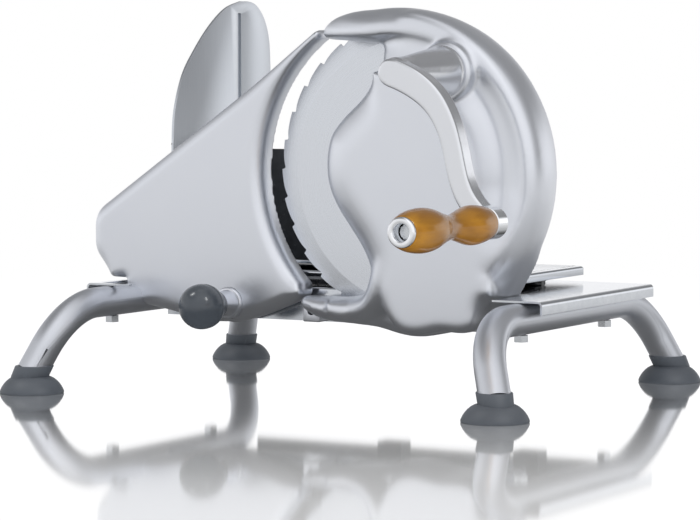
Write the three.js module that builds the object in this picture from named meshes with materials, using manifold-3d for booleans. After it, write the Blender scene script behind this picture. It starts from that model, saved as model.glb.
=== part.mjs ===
// Hand crank slicer with a toothed round blade, a sliding food table and a gauge plate.
// Sizes are in millimetres. +X runs along the cut, +Y from the crank side to the food side, +Z up.
// The object stands on z = 0 with its feet round the origin before the last group centres it.

import * as THREE from 'three';
import { mergeVertices } from 'three/addons/utils/BufferGeometryUtils.js';
import Module from 'manifold-3d';

const wasm = await Module();
wasm.setup();

// Fits and facets
const FIT = 0.3;
const RUNNING_FIT = 0.2;
const ROUND_SIDES = 16;
const SMALL_ROUND_SIDES = 8;

// Blade
const BLADE_RADIUS = 95;
const BLADE_THICKNESS = 1.5;
const BLADE_TEETH = 32;
const TOOTH_DEPTH = 2.4;
const BEVEL_WIDTH = 12;
const BEVEL_EDGE = 0.5;
const BLADE_AXIS_X = 52.8;
const BLADE_AXIS_Z = 138.2;
const BLADE_BACK_Y = -19.5;
const COVER_DISC_RADIUS = 56;
const COVER_DISC_THICKNESS = 1.5;
const SPINDLE_RADIUS = 8;
const HUB_FLANGE_RADIUS = 24;
const HUB_FLANGE_THICKNESS = 4;
const BLADE_SCREW_CIRCLE = 16;
const BLADE_SCREW_RADIUS = 2;
const BLADE_SCREW_HEAD_RADIUS = 4;

// Gear train
const GEAR_MODULE_SHARE = 1.5 / 101;
const CRANK_GEAR_TEETH = 24;
const IDLER_TEETH = 18;
const BLADE_GEAR_TEETH = 40;
const GEAR_WIDTH = 10;
const GEAR_BACKLASH = 0.3;
const PRESSURE_ANGLE = THREE.MathUtils.degToRad(20);
const TRAIN_ANGLE = THREE.MathUtils.degToRad(55.7);
const IDLER_PIN_RADIUS = 4;

// Housing
const GUARD_MARGIN = 6;
const HOUSING_GAP = 3;
const RIM_WIDTH = 21;
const RIM_DEPTH = 36;
const VALLEY_DEPTH = 28;
const FACE_DEPTH = 42;
const WALL = 4;
const EDGE_RADIUS = 9;
const HORN_DEPTH = 12;
const FACE_EDGE_RADIUS = 22;
const FACE_MARGIN = 19;
const SWELL_SHARE = 0.53;
const LOBE_RISE = 5.3;
const GEAR_COVER_THICKNESS = 3;
const COVER_POST_RADIUS = 5;
const COVER_SCREW_RADIUS = 2;
const BUSH_WALL = 3;

// Crank and grip
const CRANK_SHAFT_RADIUS = 6;
const CRANK_HUB_RADIUS = 16;
const CRANK_HUB_TIP_RADIUS = 9;
const CRANK_REACH = 67;
const ARM_THICKNESS = 12.4;
const ARM_END_RADIUS = 8.2;
const ARM_LOWER_WIDTH = 12.4;
const ARM_EYE_RADIUS = 9.4;
const GRIP_OFFSET_X = 61.9;
const GRIP_OFFSET_Z = -85.9;
const GRIP_LENGTH = 99.5;
const GRIP_BULB_RADIUS = 12.6;
const GRIP_WAIST_RADIUS = 7;
const GRIP_FAR_RADIUS = 11.3;
const GRIP_END_RADIUS = 8.6;
const GRIP_PIN_RADIUS = 3;
const GRIP_SOCKET_RADIUS = 5;
const GRIP_SOCKET_DEPTH = 9;

// Gauge plate and its adjuster
const GAUGE_OPENING = 3;
const GAUGE_THICKNESS = 16;
const GAUGE_EDGE_RADIUS = 8.5;
const GAUGE_TIP_GAP_ANGLE = THREE.MathUtils.degToRad(2.6);
const KNOB_AXIS_X = -71;
const KNOB_AXIS_Z = 53.4;
const KNOB_RADIUS = 14.2;
const KNOB_REACH = 33;
const KNOB_BUSH_RADIUS = 10;
const KNOB_BUSH_LENGTH = 15;
const ADJUSTER_RADIUS = 4;
const ROD_RADIUS = 4;
const ROD_SPACING = 48;
const ROD_DEPTH_IN_PLATE = 11;
const ROD_LENGTH = 62;
const GUIDE_LENGTH = 30;
const GUIDE_HEIGHT = 15;
const GUIDE_SCREW_HEAD = 1;

// Base
const SHEET = 1.2;
const TUBE_RADIUS = 9.6;
const TUBE_WALL = 1.5;
const TUBE_SPACING = 290;
const TUBE_AXIS_Z = 53.7;
const TUBE_CORNER_Y = 110;
const TUBE_BEND_RADIUS = 44;
const LEG_OUT_X = 16;
const LEG_OUT_Y = 17;
const LEG_END_Z = 13;
const FOOT_RADIUS = 20;
const FOOT_SKIRT_HEIGHT = 8;
const FOOT_NECK_RADIUS = 10.4;
const FOOT_PLUG_LENGTH = 14;
const TRAY_LENGTH = 322;
const TRAY_FRONT_Y = -65;
const TRAY_BACK_Y = 100;
const TRAY_END_DROP = 8;
const TRAY_BACK_DROP = 14;
const TRAY_BEND_RADIUS = 3;
const NOTCH_LEFT_X = -129;
const NOTCH_RIGHT_X = 128;
const NOTCH_BACK_Y = -17.5;
const NOTCH_FLANGE_BOTTOM_Z = 42.6;
const STUD_RADIUS = 2.5;
const STUD_SPACING_Y = 120;
const NUT_WIDTH = 8;
const NUT_HEIGHT = 4;
const PAD_SCREW_RISE = 8.4;
const PAD_SCREW_RADIUS = 6;
const FRAME_SCREW_RADIUS = 2.5;
const FRAME_SCREW_HEAD_RADIUS = 4.5;
const FRAME_SCREW_HEAD_HEIGHT = 3;

// Food table
const TABLE_TOP_Z = 74.5;
const TABLE_SHEET = 1.5;
const TABLE_EDGE = 5.5;
const TABLE_LEFT_X = -125;
const TABLE_RIGHT_X = 112;
const TABLE_FRONT_Y = -17.5;
const TABLE_BACK_Y = 105;
const RAIL_Y = 55;
const RAIL_WIDTH = 14;
const RAIL_LENGTH = 224;
const RAIL_WALL = 2;
const RAIL_SLOT = 5.4;
const GUIDE_BLOCK_X = [-2, 96];
const GUIDE_BLOCK_WIDTH = 13;
const GUIDE_BLOCK_LENGTH = 18;
const GUIDE_BLOCK_BOTTOM_Z = 41;
const GUIDE_HEAD_HEIGHT = 3;
const PUSHER_SHEET = 1.5;
const PUSHER_TOP_Z = 246;
const PUSHER_FOOT = 16;
const BEAD_Y = 66;
const BEAD_WIDTH = 8;
const BEAD_HEIGHT = 2.5;
const HOLDER_SLOT_Z = 98;
const HOLDER_SLOT_FRONT_Y = 2;
const HOLDER_SLOT_BACK_Y = 94;
const RIVET_RADIUS = 2;
const RIVET_HEAD_RADIUS = 4;
const RIVET_HEAD_HEIGHT = 1.4;

// Food holder
const HOLDER_Y = 60;
const HOLDER_THICKNESS = 4;
const HOLDER_LENGTH = 104;
const HOLDER_HEIGHT = 73;
const HOLDER_FOOT = 22;
const HOLDER_BOLT_RADIUS = 3;
const HOLDER_KNOB_RADIUS = 11;
const HOLDER_KNOB_LENGTH = 16;

// Levels that follow from the sizes above
const bladeFrontY = BLADE_BACK_Y - BLADE_THICKNESS;
const housingBackY = bladeFrontY - HOUSING_GAP;
const valleyY = housingBackY - VALLEY_DEPTH;
const faceY = housingBackY - FACE_DEPTH;
const guardRadius = BLADE_RADIUS + GUARD_MARGIN;
const gearModule = guardRadius * GEAR_MODULE_SHARE;
const rimRadius = guardRadius - RIM_WIDTH / 2;
const faceRadius = guardRadius - FACE_MARGIN;
const swellRadius = guardRadius * SWELL_SHARE;
const housingBottomZ = BLADE_AXIS_Z - guardRadius + LOBE_RISE;
const gearBackY = housingBackY - WALL - GEAR_COVER_THICKNESS - 4;
const coverBackY = housingBackY - GEAR_COVER_THICKNESS;
const coverFrontY = coverBackY - GEAR_COVER_THICKNESS;
const cavityFrontY = gearBackY - GEAR_WIDTH - 2;
const trayTopZ = TUBE_AXIS_Z + TUBE_RADIUS + FIT + SHEET;
const trayUnderZ = trayTopZ - SHEET;
const gaugeBackY = BLADE_BACK_Y - GAUGE_OPENING;
const gaugeFrontY = gaugeBackY - GAUGE_THICKNESS;
const railTopZ = TABLE_TOP_Z - TABLE_SHEET - FIT;
const railBottomZ = trayTopZ + FIT;

const pitchRadius = (teeth) => (gearModule * teeth) / 2;
const idlerDistance = pitchRadius(BLADE_GEAR_TEETH) + pitchRadius(IDLER_TEETH);
const crankDistance = idlerDistance + pitchRadius(IDLER_TEETH) + pitchRadius(CRANK_GEAR_TEETH);
const onTrain = (distance) => ({
  x: BLADE_AXIS_X + distance * Math.cos(TRAIN_ANGLE),
  z: BLADE_AXIS_Z + distance * Math.sin(TRAIN_ANGLE),
});
const idlerAxis = onTrain(idlerDistance);
const crankAxis = onTrain(crankDistance);
const gripAxis = { x: crankAxis.x + GRIP_OFFSET_X, z: crankAxis.z + GRIP_OFFSET_Z };

// Materials
const finish = (color, roughness, metalness) => () =>
  new THREE.MeshStandardMaterial({ color, roughness, metalness });
const castSilver = finish(0xc4c8ce, 0.38, 0.85);
const polishedSteel = finish(0xd5d8db, 0.12, 1);
const brushedSteel = finish(0xbfc3c7, 0.32, 1);
const brushedAluminium = finish(0xb9bdc2, 0.4, 0.9);
const gearSteel = finish(0x8d9094, 0.4, 1);
const bronze = finish(0xb08d57, 0.4, 1);
const greyRubber = finish(0x4a4c50, 0.8, 0);
const greyPlastic = finish(0x56595e, 0.35, 0);
const blackPlastic = finish(0x1b1c1e, 0.45, 0);
const amberWood = finish(0xc98425, 0.3, 0);

// Solids

/** Turns a closed geometry into a solid that can be joined and cut. */
function toSolid(geometry) {
  const bare = geometry.clone();
  bare.deleteAttribute('normal');
  bare.deleteAttribute('uv');
  const merged = mergeVertices(bare, 1e-4);
  const index = merged.index.array;
  const kept = [];
  for (let i = 0; i < index.length; i += 3) {
    const [a, b, c] = [index[i], index[i + 1], index[i + 2]];
    if (a !== b && b !== c && c !== a) kept.push(a, b, c);
  }
  return new wasm.Manifold(new wasm.Mesh({
    numProp: 3,
    vertProperties: Float32Array.from(merged.attributes.position.array),
    triVerts: Uint32Array.from(kept),
  }));
}

/** Turns a solid back into a geometry with flat faces. */
function toGeometry(solid) {
  const { vertProperties, triVerts } = solid.getMesh();
  const geometry = new THREE.BufferGeometry();
  geometry.setAttribute('position', new THREE.BufferAttribute(vertProperties, 3));
  geometry.setIndex(new THREE.BufferAttribute(triVerts, 1));
  return geometry;
}

/** Joins the first geometries, cuts the second ones away and returns what is left. */
function combine(joined, cut = []) {
  let solid = toSolid(joined[0]);
  for (const geometry of joined.slice(1)) solid = solid.add(toSolid(geometry));
  for (const geometry of cut) solid = solid.subtract(toSolid(geometry));
  return toGeometry(solid);
}

/** Signed volume, used to make the faces of a lofted solid point out. */
function signedVolume(vertices, faces) {
  let sum = 0;
  const cross = new THREE.Vector3();
  for (const [a, b, c] of faces) sum += vertices[a].dot(cross.crossVectors(vertices[b], vertices[c]));
  return sum / 6;
}

/** Solid from rings of equal length, closed by two caps given as triangles of ring corners. */
function loft(rings, capFaces) {
  const count = rings[0].length;
  const fan = Array.from({ length: count - 2 }, (_, i) => [0, i + 1, i + 2]);
  const caps = capFaces ?? fan;
  const last = (rings.length - 1) * count;
  const faces = caps.map(([a, b, c]) => [a, c, b]);
  for (const [a, b, c] of caps) faces.push([last + a, last + b, last + c]);
  for (let ring = 0; ring < rings.length - 1; ring += 1) {
    for (let i = 0; i < count; i += 1) {
      const next = (i + 1) % count;
      const [a, b] = [ring * count + i, ring * count + next];
      faces.push([a, b, b + count], [a, b + count, a + count]);
    }
  }
  const vertices = rings.flat();
  const outward = signedVolume(vertices, faces) > 0;
  const geometry = new THREE.BufferGeometry();
  geometry.setFromPoints(vertices);
  geometry.setIndex(faces.flatMap(([a, b, c]) => (outward ? [a, b, c] : [a, c, b])));
  return geometry;
}

/** Box between two corners. */
function box([x0, y0, z0], [x1, y1, z1]) {
  const geometry = new THREE.BoxGeometry(x1 - x0, y1 - y0, z1 - z0);
  return geometry.translate((x0 + x1) / 2, (y0 + y1) / 2, (z0 + z1) / 2);
}

/** Turned piece round an axis along Y; the profile lists [radius, y] and closes on the axis. */
function turned(profile, segments = ROUND_SIDES) {
  const points = profile.map(([r, y]) => new THREE.Vector2(r, y));
  return new THREE.LatheGeometry(THREE.ShapeUtils.isClockWise(points) ? points.reverse() : points, segments);
}

/** Plain round bar along Y from one level to another. */
function bar(radius, fromY, toY, segments = ROUND_SIDES) {
  const [low, high] = [Math.min(fromY, toY), Math.max(fromY, toY)];
  return turned([[0, low], [radius, low], [radius, high], [0, high]], segments);
}

/** Ring along Y. */
function sleeve(outer, inner, fromY, toY, segments = ROUND_SIDES) {
  return turned([[inner, fromY], [outer, fromY], [outer, toY], [inner, toY], [inner, fromY]], segments);
}

/** Turns a piece built round Y so that its axis stands up. */
const upright = (geometry) => geometry.rotateX(Math.PI / 2);

/** Plate in the XZ plane, extruded between two levels of Y. */
function plate(points, backY, frontY, holes = []) {
  const shape = new THREE.Shape(points);
  for (const hole of holes) shape.holes.push(new THREE.Path(hole));
  const geometry = new THREE.ExtrudeGeometry(shape, { depth: backY - frontY, bevelEnabled: false });
  return geometry.rotateX(Math.PI / 2).translate(0, backY, 0);
}

// Outlines: lists of Vector2 in the XZ plane

const point = (x, z) => new THREE.Vector2(x, z);

/** Points on an arc; the angles are in degrees and both ends are included. */
function arc(centre, radius, fromDegrees, toDegrees, segments) {
  return Array.from({ length: segments + 1 }, (_, i) => {
    const angle = THREE.MathUtils.degToRad(THREE.MathUtils.lerp(fromDegrees, toDegrees, i / segments));
    return point(centre.x + radius * Math.cos(angle), centre.y + radius * Math.sin(angle));
  });
}

const circle = (x, z, radius, segments = 24) => arc(point(x, z), radius, 0, 360, segments).slice(0, -1);

/** Smooth curve through a few points, without its two end points. */
function between(corners, segments) {
  return new THREE.SplineCurve(corners).getPoints(segments).slice(1, -1);
}

/** Outline with each corner [x, z, radius] rounded. */
function rounded(corners, segments = 5) {
  return corners.flatMap(([x, z, radius], i) => {
    const corner = point(x, z);
    if (!radius) return [corner];
    const [px, pz] = corners[(i + corners.length - 1) % corners.length];
    const [nx, nz] = corners[(i + 1) % corners.length];
    const back = point(px, pz).sub(corner).normalize();
    const ahead = point(nx, nz).sub(corner).normalize();
    const half = Math.acos(THREE.MathUtils.clamp(back.dot(ahead), -1, 1)) / 2;
    const centre = corner.clone().addScaledVector(back.clone().add(ahead).normalize(), radius / Math.sin(half));
    const start = corner.clone().addScaledVector(back, radius / Math.tan(half)).sub(centre).angle();
    const end = corner.clone().addScaledVector(ahead, radius / Math.tan(half)).sub(centre).angle();
    let sweep = end - start;
    if (sweep > Math.PI) sweep -= 2 * Math.PI;
    if (sweep < -Math.PI) sweep += 2 * Math.PI;
    const degrees = THREE.MathUtils.radToDeg;
    return arc(centre, radius, degrees(start), degrees(start + sweep), segments);
  });
}

/** Inward unit normals at the points of an outline, longer at corners so that offsets stay parallel. */
function inwardNormals(outline) {
  const turn = THREE.ShapeUtils.area(outline) > 0 ? 1 : -1;
  const edgeNormal = (a, b) => point(-(b.y - a.y), b.x - a.x).normalize().multiplyScalar(turn);
  return outline.map((corner, i) => {
    const before = edgeNormal(outline[(i + outline.length - 1) % outline.length], corner);
    const after = edgeNormal(corner, outline[(i + 1) % outline.length]);
    const mean = before.clone().add(after).normalize();
    return mean.divideScalar(Math.max(0.7, mean.dot(after)));
  });
}

/** How far each point can move in before it meets the other side of the outline. */
function inwardRoom(outline, normals, limit) {
  const free = outline.map((corner, i) => {
    let room = limit;
    for (const other of outline) {
      const reach = other.clone().sub(corner);
      const along = reach.dot(normals[i]);
      if (along > 1e-6) room = Math.min(room, (0.42 * reach.lengthSq()) / along);
    }
    return room;
  });
  return free.map((room, i) => {
    const before = free[(i + free.length - 1) % free.length];
    return Math.min(room, (before + room + free[(i + 1) % free.length]) / 3);
  });
}

/** Outline moved in by one distance, or less where it is narrow. */
function inset(outline, distance) {
  const normals = inwardNormals(outline);
  const room = inwardRoom(outline, normals, distance);
  return outline.map((corner, i) => corner.clone().addScaledVector(normals[i], room[i]));
}

/** Plate whose front edge is rolled over, with a smaller roll where the plate is narrow. */
function rolledPlate(points, backY, frontY, radius, depth = radius, segments = 4) {
  const outline = THREE.ShapeUtils.isClockWise(points) ? [...points].reverse() : points;
  const normals = inwardNormals(outline);
  const room = inwardRoom(outline, normals, radius);
  const ringAt = (share, y) => outline.map((corner, i) => {
    const moved = corner.clone().addScaledVector(normals[i], room[i] * share);
    return new THREE.Vector3(moved.x, y, moved.y);
  });
  const rings = [ringAt(0, backY)];
  for (let step = 0; step <= segments; step += 1) {
    const angle = (step / segments) * (Math.PI / 2);
    rings.push(ringAt(1 - Math.cos(angle), frontY + depth * (1 - Math.sin(angle))));
  }
  return loft(rings, THREE.ShapeUtils.triangulateShape(outline, []));
}

/** Solid roll along a path of stations: place, half width across the path and half depth along Y. */
function roll(stations, sides = 10) {
  const centres = stations.map(({ x, z }) => point(x, z));
  return loft(stations.map(({ halfWidth, midY, halfDepth }, i) => {
    const before = centres[Math.max(i - 1, 0)];
    const after = centres[Math.min(i + 1, centres.length - 1)];
    const along = after.clone().sub(before).normalize();
    return Array.from({ length: sides }, (_, k) => {
      const angle = (k / sides) * 2 * Math.PI;
      const across = halfWidth * Math.cos(angle);
      return new THREE.Vector3(
        centres[i].x - along.y * across,
        midY + halfDepth * Math.sin(angle),
        centres[i].y + along.x * across,
      );
    });
  }));
}

// Gears

/** Involute gear round Y, with one tooth centred on the +X side before it is turned. */
function gear(teeth, boreRadius, fromY, toY) {
  const pitch = pitchRadius(teeth);
  const base = pitch * Math.cos(PRESSURE_ANGLE);
  const root = pitch - 1.25 * gearModule;
  const tip = pitch + gearModule;
  const involute = (angle) => Math.tan(angle) - angle;
  const thickness = (Math.PI * gearModule) / 2 - GEAR_BACKLASH;
  const halfAngle = (radius) => thickness / (2 * pitch) + involute(PRESSURE_ANGLE)
    - involute(Math.acos(Math.min(1, base / radius)));
  const flank = [root, tip];
  const outline = [];
  for (let tooth = 0; tooth < teeth; tooth += 1) {
    const middle = (tooth / teeth) * 2 * Math.PI;
    for (const radius of flank) {
      const angle = middle - halfAngle(radius);
      outline.push(point(radius * Math.cos(angle), radius * Math.sin(angle)));
    }
    for (const radius of [...flank].reverse()) {
      const angle = middle + halfAngle(radius);
      outline.push(point(radius * Math.cos(angle), radius * Math.sin(angle)));
    }
  }
  return plate(outline, Math.max(fromY, toY), Math.min(fromY, toY), [circle(0, 0, boreRadius)]);
}

/** Turn of a gear whose teeth have to meet those of a neighbour that lies in the given direction. */
function meshedTurn(teeth, direction, neighbourTeeth, neighbourTurn) {
  const neighbourOffset = ((direction + Math.PI - neighbourTurn) * neighbourTeeth) / (2 * Math.PI);
  return direction - ((0.5 - neighbourOffset) * 2 * Math.PI) / teeth;
}

// Housing outlines, from the neck below the beak round the guard to the foot

const bladeAxis = point(BLADE_AXIS_X, BLADE_AXIS_Z);
const onBladeAxis = (radius, degrees) => arc(bladeAxis, radius, degrees, degrees, 1)[0];

// The castings are drawn for a guard of radius 101 and grow with it, about the blade axis.
const drawn = guardRadius / 101;
const drawnX = (x) => BLADE_AXIS_X + (x - 52.8) * drawn;
const drawnZ = (z) => BLADE_AXIS_Z + (z - 138.2) * drawn;
const onCasting = (x, z) => point(drawnX(x), drawnZ(z));

const lobeHalf = Math.sqrt(guardRadius ** 2 - (BLADE_AXIS_Z - housingBottomZ) ** 2);
const lobeStartX = BLADE_AXIS_X - lobeHalf;

/** Left edge from the neck, round the swell in front of the blade and down to the foot. */
function housingLeftEdge() {
  const swell = arc(bladeAxis, swellRadius, 120, 230, 9);
  const [top, bottom] = [swell[0], swell[swell.length - 1]];
  const neck = between([onCasting(38, 214), onCasting(38.5, 203), onCasting(35, 194), top], 5);
  const throat = between([
    bottom,
    onCasting(26, 87),
    onCasting(30.5, 79),
    onCasting(30.5, 70),
    onCasting(26.5, 58),
    point(lobeStartX, housingBottomZ),
  ], 8);
  return [...neck, ...swell, ...throat];
}

/** Whole casting without its two horns. */
function housingOutline() {
  const lobe = THREE.MathUtils.radToDeg(Math.asin(lobeHalf / guardRadius));
  const sideFoot = onBladeAxis(guardRadius, -30);
  return [
    onCasting(36, 238),
    onCasting(38, 214),
    ...housingLeftEdge(),
    ...arc(bladeAxis, guardRadius, -90 - lobe, -90 + lobe, 6),
    point(sideFoot.x - 26 * drawn, housingBottomZ),
    point(sideFoot.x - 14.2 * drawn, drawnZ(63)),
    ...arc(bladeAxis, guardRadius, -30, 99, 15),
  ];
}

/** Raised face in front of the gears. */
function faceOutline() {
  return [
    onCasting(38, 214),
    ...housingLeftEdge(),
    point(lobeStartX, housingBottomZ + 0.5),
    point(drawnX(106), housingBottomZ + 0.5),
    onCasting(113, 62),
    ...arc(bladeAxis, faceRadius, -42, 84, 10),
    onCasting(46, 219),
  ];
}

/** Station of a roll: place, half width across the path, middle and half depth along Y. */
const station = ({ x, y }, halfWidth, midY, halfDepth) => ({ x, z: y, halfWidth, midY, halfDepth });

/** Stations of the rolled rim, from its fade at the foot round the guard to the tip of the beak. */
function rimStations() {
  const midY = housingBackY - RIM_DEPTH / 2;
  const sideFoot = onBladeAxis(rimRadius, -30);
  return [
    station(point(sideFoot.x - 25.5 * drawn, drawnZ(48.5)), 6 * drawn, midY, RIM_DEPTH / 2 - 4),
    station(point(sideFoot.x - 17.5 * drawn, drawnZ(62.5)), 8.5 * drawn, midY, RIM_DEPTH / 2 - 1),
    ...arc(bladeAxis, rimRadius, -30, 98, 13).map((place) => station(place, RIM_WIDTH / 2, midY, RIM_DEPTH / 2)),
    station(onCasting(25, 227.8), 9.2 * drawn, midY + 1, RIM_DEPTH * 0.44),
    station(onCasting(12, 226.6), 7.4 * drawn, midY + 3, RIM_DEPTH * 0.35),
    station(onCasting(3.5, 224.6), 5.2 * drawn, midY + 5, RIM_DEPTH * 0.24),
    station(onCasting(-0.5, 223.6), 3.4 * drawn, midY + 6, RIM_DEPTH * 0.14),
    station(onCasting(-2.2, 223.1), 1.4 * drawn, midY + 6, RIM_DEPTH * 0.055),
  ];
}

/** Stations of the lower horn, from the throat to its tip under the gauge plate. */
function lowerHornStations() {
  const midY = housingBackY - HORN_DEPTH - 0.2;
  return [
    station(onCasting(34, 50.8), 8 * drawn, midY, HORN_DEPTH),
    station(onCasting(18, 50.6), 8 * drawn, midY, HORN_DEPTH),
    station(onCasting(3, 51), 8.2 * drawn, midY, HORN_DEPTH * 0.96),
    station(onCasting(-7, 52.4), 7 * drawn, midY, HORN_DEPTH * 0.83),
    station(onCasting(-14, 54.7), 4.8 * drawn, midY, HORN_DEPTH * 0.62),
    station(onCasting(-18, 56.2), 2.6 * drawn, midY, HORN_DEPTH * 0.33),
    station(onCasting(-19.2, 56.7), drawn, midY, HORN_DEPTH * 0.13),
  ];
}

const coverPosts = [[43, 180], [84, 91], [86, 2], [84, -44], [76, -92]]
  .map(([radius, degrees]) => onBladeAxis(radius * drawn, degrees));
const footPads = [drawnX(-10), drawnX(116)].map((screwX) => ({
  fromX: screwX - PAD_SCREW_RADIUS,
  toX: screwX + PAD_SCREW_RADIUS,
  screwX,
}));
const padScrewZ = NOTCH_FLANGE_BOTTOM_Z + PAD_SCREW_RISE;
const padTopZ = padScrewZ + PAD_SCREW_RADIUS;

/** Space that the mounting pads take up, grown by a gap. */
const padRoom = (gap) => footPads.map(({ fromX, toX }) =>
  box([fromX - gap, cavityFrontY - 10, 0], [toX + gap, 0, padTopZ + gap]));

/** Housing casting: rolled guard rim with two horns round a raised face, hollow for the gears. */
function housing() {
  const outline = housingOutline();
  const cavity = inset(outline, WALL);
  const pads = footPads.map(({ fromX, toX }) =>
    box([fromX, housingBackY - 14, housingBottomZ + 1.5], [toX, NOTCH_BACK_Y - SHEET - FIT, padTopZ]));
  const posts = coverPosts.map((place) => {
    const rootY = place.distanceTo(bladeAxis) < faceRadius ? faceY + WALL - 1 : cavityFrontY - 3;
    return bar(COVER_POST_RADIUS, rootY, coverFrontY - FIT, SMALL_ROUND_SIDES).translate(place.x, 0, place.y);
  });
  const boss = (axis, radius, toY) => bar(radius, faceY + 3, toY).translate(axis.x, 0, axis.z ?? axis.y);
  const shell = combine(
    [
      rolledPlate(outline, housingBackY, valleyY, EDGE_RADIUS, EDGE_RADIUS, 3),
      rolledPlate(faceOutline(), housingBackY - 6, faceY, FACE_EDGE_RADIUS, 20, 4),
      roll(rimStations()),
      roll(lowerHornStations()),
      bar(CRANK_HUB_RADIUS + 1.5, faceY, valleyY + 2).translate(crankAxis.x, 0, crankAxis.z),
    ],
    [
      combine([plate(cavity, housingBackY + 1, cavityFrontY)], padRoom(0)),
      combine([rolledPlate(inset(faceOutline(), WALL + 1), cavityFrontY + 1, faceY + WALL, 16, 12, 2)], padRoom(0)),
    ],
  );
  const crankBore = CRANK_SHAFT_RADIUS + BUSH_WALL + RUNNING_FIT;
  const spindleBore = SPINDLE_RADIUS + BUSH_WALL + RUNNING_FIT;
  return combine(
    [
      shell,
      ...pads,
      ...posts,
      boss(crankAxis, crankBore + 4, cavityFrontY + 1),
      boss(bladeAxis, spindleBore + 4, cavityFrontY + 1),
      boss(idlerAxis, IDLER_PIN_RADIUS + 4, cavityFrontY + 1),
    ],
    [
      bar(crankBore, faceY - 2, cavityFrontY + 3).translate(crankAxis.x, 0, crankAxis.z),
      bar(spindleBore, faceY + WALL, cavityFrontY + 3).translate(BLADE_AXIS_X, 0, BLADE_AXIS_Z),
      bar(IDLER_PIN_RADIUS + RUNNING_FIT, faceY + WALL + 4, cavityFrontY + 3)
        .translate(idlerAxis.x, 0, idlerAxis.z),
      ...coverPosts.map(({ x, y }) =>
        bar(COVER_SCREW_RADIUS + FIT, cavityFrontY + 2, housingBackY, SMALL_ROUND_SIDES).translate(x, 0, y)),
      ...footPads.map(({ screwX }) =>
        bar(FRAME_SCREW_RADIUS + FIT, housingBackY - 10, NOTCH_BACK_Y, SMALL_ROUND_SIDES).translate(screwX, 0, padScrewZ)),
    ],
  );
}

/** Flat cover behind the gears, let into the back of the housing. */
function gearCover() {
  const outline = inset(housingOutline(), WALL + FIT);
  return combine(
    [plate(outline, coverBackY, coverFrontY)],
    [
      ...padRoom(FIT),
      bar(SPINDLE_RADIUS + BUSH_WALL + RUNNING_FIT, coverFrontY - 1, coverBackY + 1)
        .translate(BLADE_AXIS_X, 0, BLADE_AXIS_Z),
      bar(CRANK_SHAFT_RADIUS + RUNNING_FIT, coverFrontY - 1, coverBackY + 1).translate(crankAxis.x, 0, crankAxis.z),
      bar(IDLER_PIN_RADIUS + RUNNING_FIT, coverFrontY - 1, coverBackY + 1).translate(idlerAxis.x, 0, idlerAxis.z),
      ...coverPosts.map(({ x, y }) =>
        bar(COVER_SCREW_RADIUS + FIT, coverFrontY - 1, coverBackY + 1, SMALL_ROUND_SIDES).translate(x, 0, y)),
    ],
  );
}

/** Screw along Y with a low round head at headY and its shank towards -Y. */
function screwAlongY(shankRadius, headRadius, headHeight, headY, length) {
  return turned([
    [0, headY + headHeight],
    [headRadius * 0.7, headY + headHeight],
    [headRadius, headY + headHeight * 0.5],
    [headRadius, headY],
    [shankRadius, headY],
    [shankRadius, headY - length],
    [0, headY - length],
  ], SMALL_ROUND_SIDES);
}

// Blade and spindle

/** Round blade with raked teeth, ground to a bevel on the side that the slices leave by. */
function blade() {
  const outline = [];
  const pitch = 360 / BLADE_TEETH;
  for (let tooth = 0; tooth < BLADE_TEETH; tooth += 1) {
    const start = tooth * pitch;
    outline.push(...arc(point(0, 0), BLADE_RADIUS, start, start, 1).slice(0, 1));
    outline.push(...arc(point(0, 0), BLADE_RADIUS - TOOTH_DEPTH * 0.35, start + pitch * 0.55, start, 1).slice(0, 1));
    outline.push(...arc(point(0, 0), BLADE_RADIUS - TOOTH_DEPTH, start + pitch * 0.94, start, 1).slice(0, 1));
  }
  const inner = BLADE_RADIUS - BEVEL_WIDTH;
  const slope = (BLADE_THICKNESS - BEVEL_EDGE) / BEVEL_WIDTH;
  const outer = BLADE_RADIUS + 4;
  const bevel = turned([
    [inner, bladeFrontY],
    [outer, bladeFrontY + slope * (outer - inner)],
    [outer, bladeFrontY - 3],
    [inner, bladeFrontY - 3],
    [inner, bladeFrontY],
  ], 48);
  const holes = [0, 1, 2].map((i) => onCircle(BLADE_SCREW_CIRCLE, i / 3));
  return combine([plate(outline, BLADE_BACK_Y, bladeFrontY)], [
    bevel,
    bar(SPINDLE_RADIUS + RUNNING_FIT, bladeFrontY - 1, BLADE_BACK_Y + 1),
    ...holes.map(({ x, y }) => bar(BLADE_SCREW_RADIUS + FIT, bladeFrontY - 1, BLADE_BACK_Y + 1, SMALL_ROUND_SIDES).translate(x, 0, y)),
  ]);
}

/** Place on a circle round the local axis, counted in turns. */
function onCircle(radius, turns) {
  return point(radius * Math.cos(turns * 2 * Math.PI), radius * Math.sin(turns * 2 * Math.PI));
}

/** Spindle with the flange that the blade is screwed to. */
function bladeSpindle() {
  const flangeBack = bladeFrontY - FIT;
  const flangeFront = flangeBack - HUB_FLANGE_THICKNESS;
  const body = turned([
    [0, faceY + WALL + 1],
    [SPINDLE_RADIUS, faceY + WALL + 1],
    [SPINDLE_RADIUS, flangeFront],
    [HUB_FLANGE_RADIUS, flangeFront],
    [HUB_FLANGE_RADIUS, flangeBack],
    [SPINDLE_RADIUS, flangeBack],
    [SPINDLE_RADIUS, BLADE_BACK_Y],
    [0, BLADE_BACK_Y],
  ]);
  return combine([body], [0, 1, 2].map((i) => {
    const { x, y } = onCircle(BLADE_SCREW_CIRCLE, i / 3);
    return bar(BLADE_SCREW_RADIUS + FIT, flangeFront + 0.8, flangeBack + 1, SMALL_ROUND_SIDES).translate(x, 0, y);
  }));
}

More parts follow.
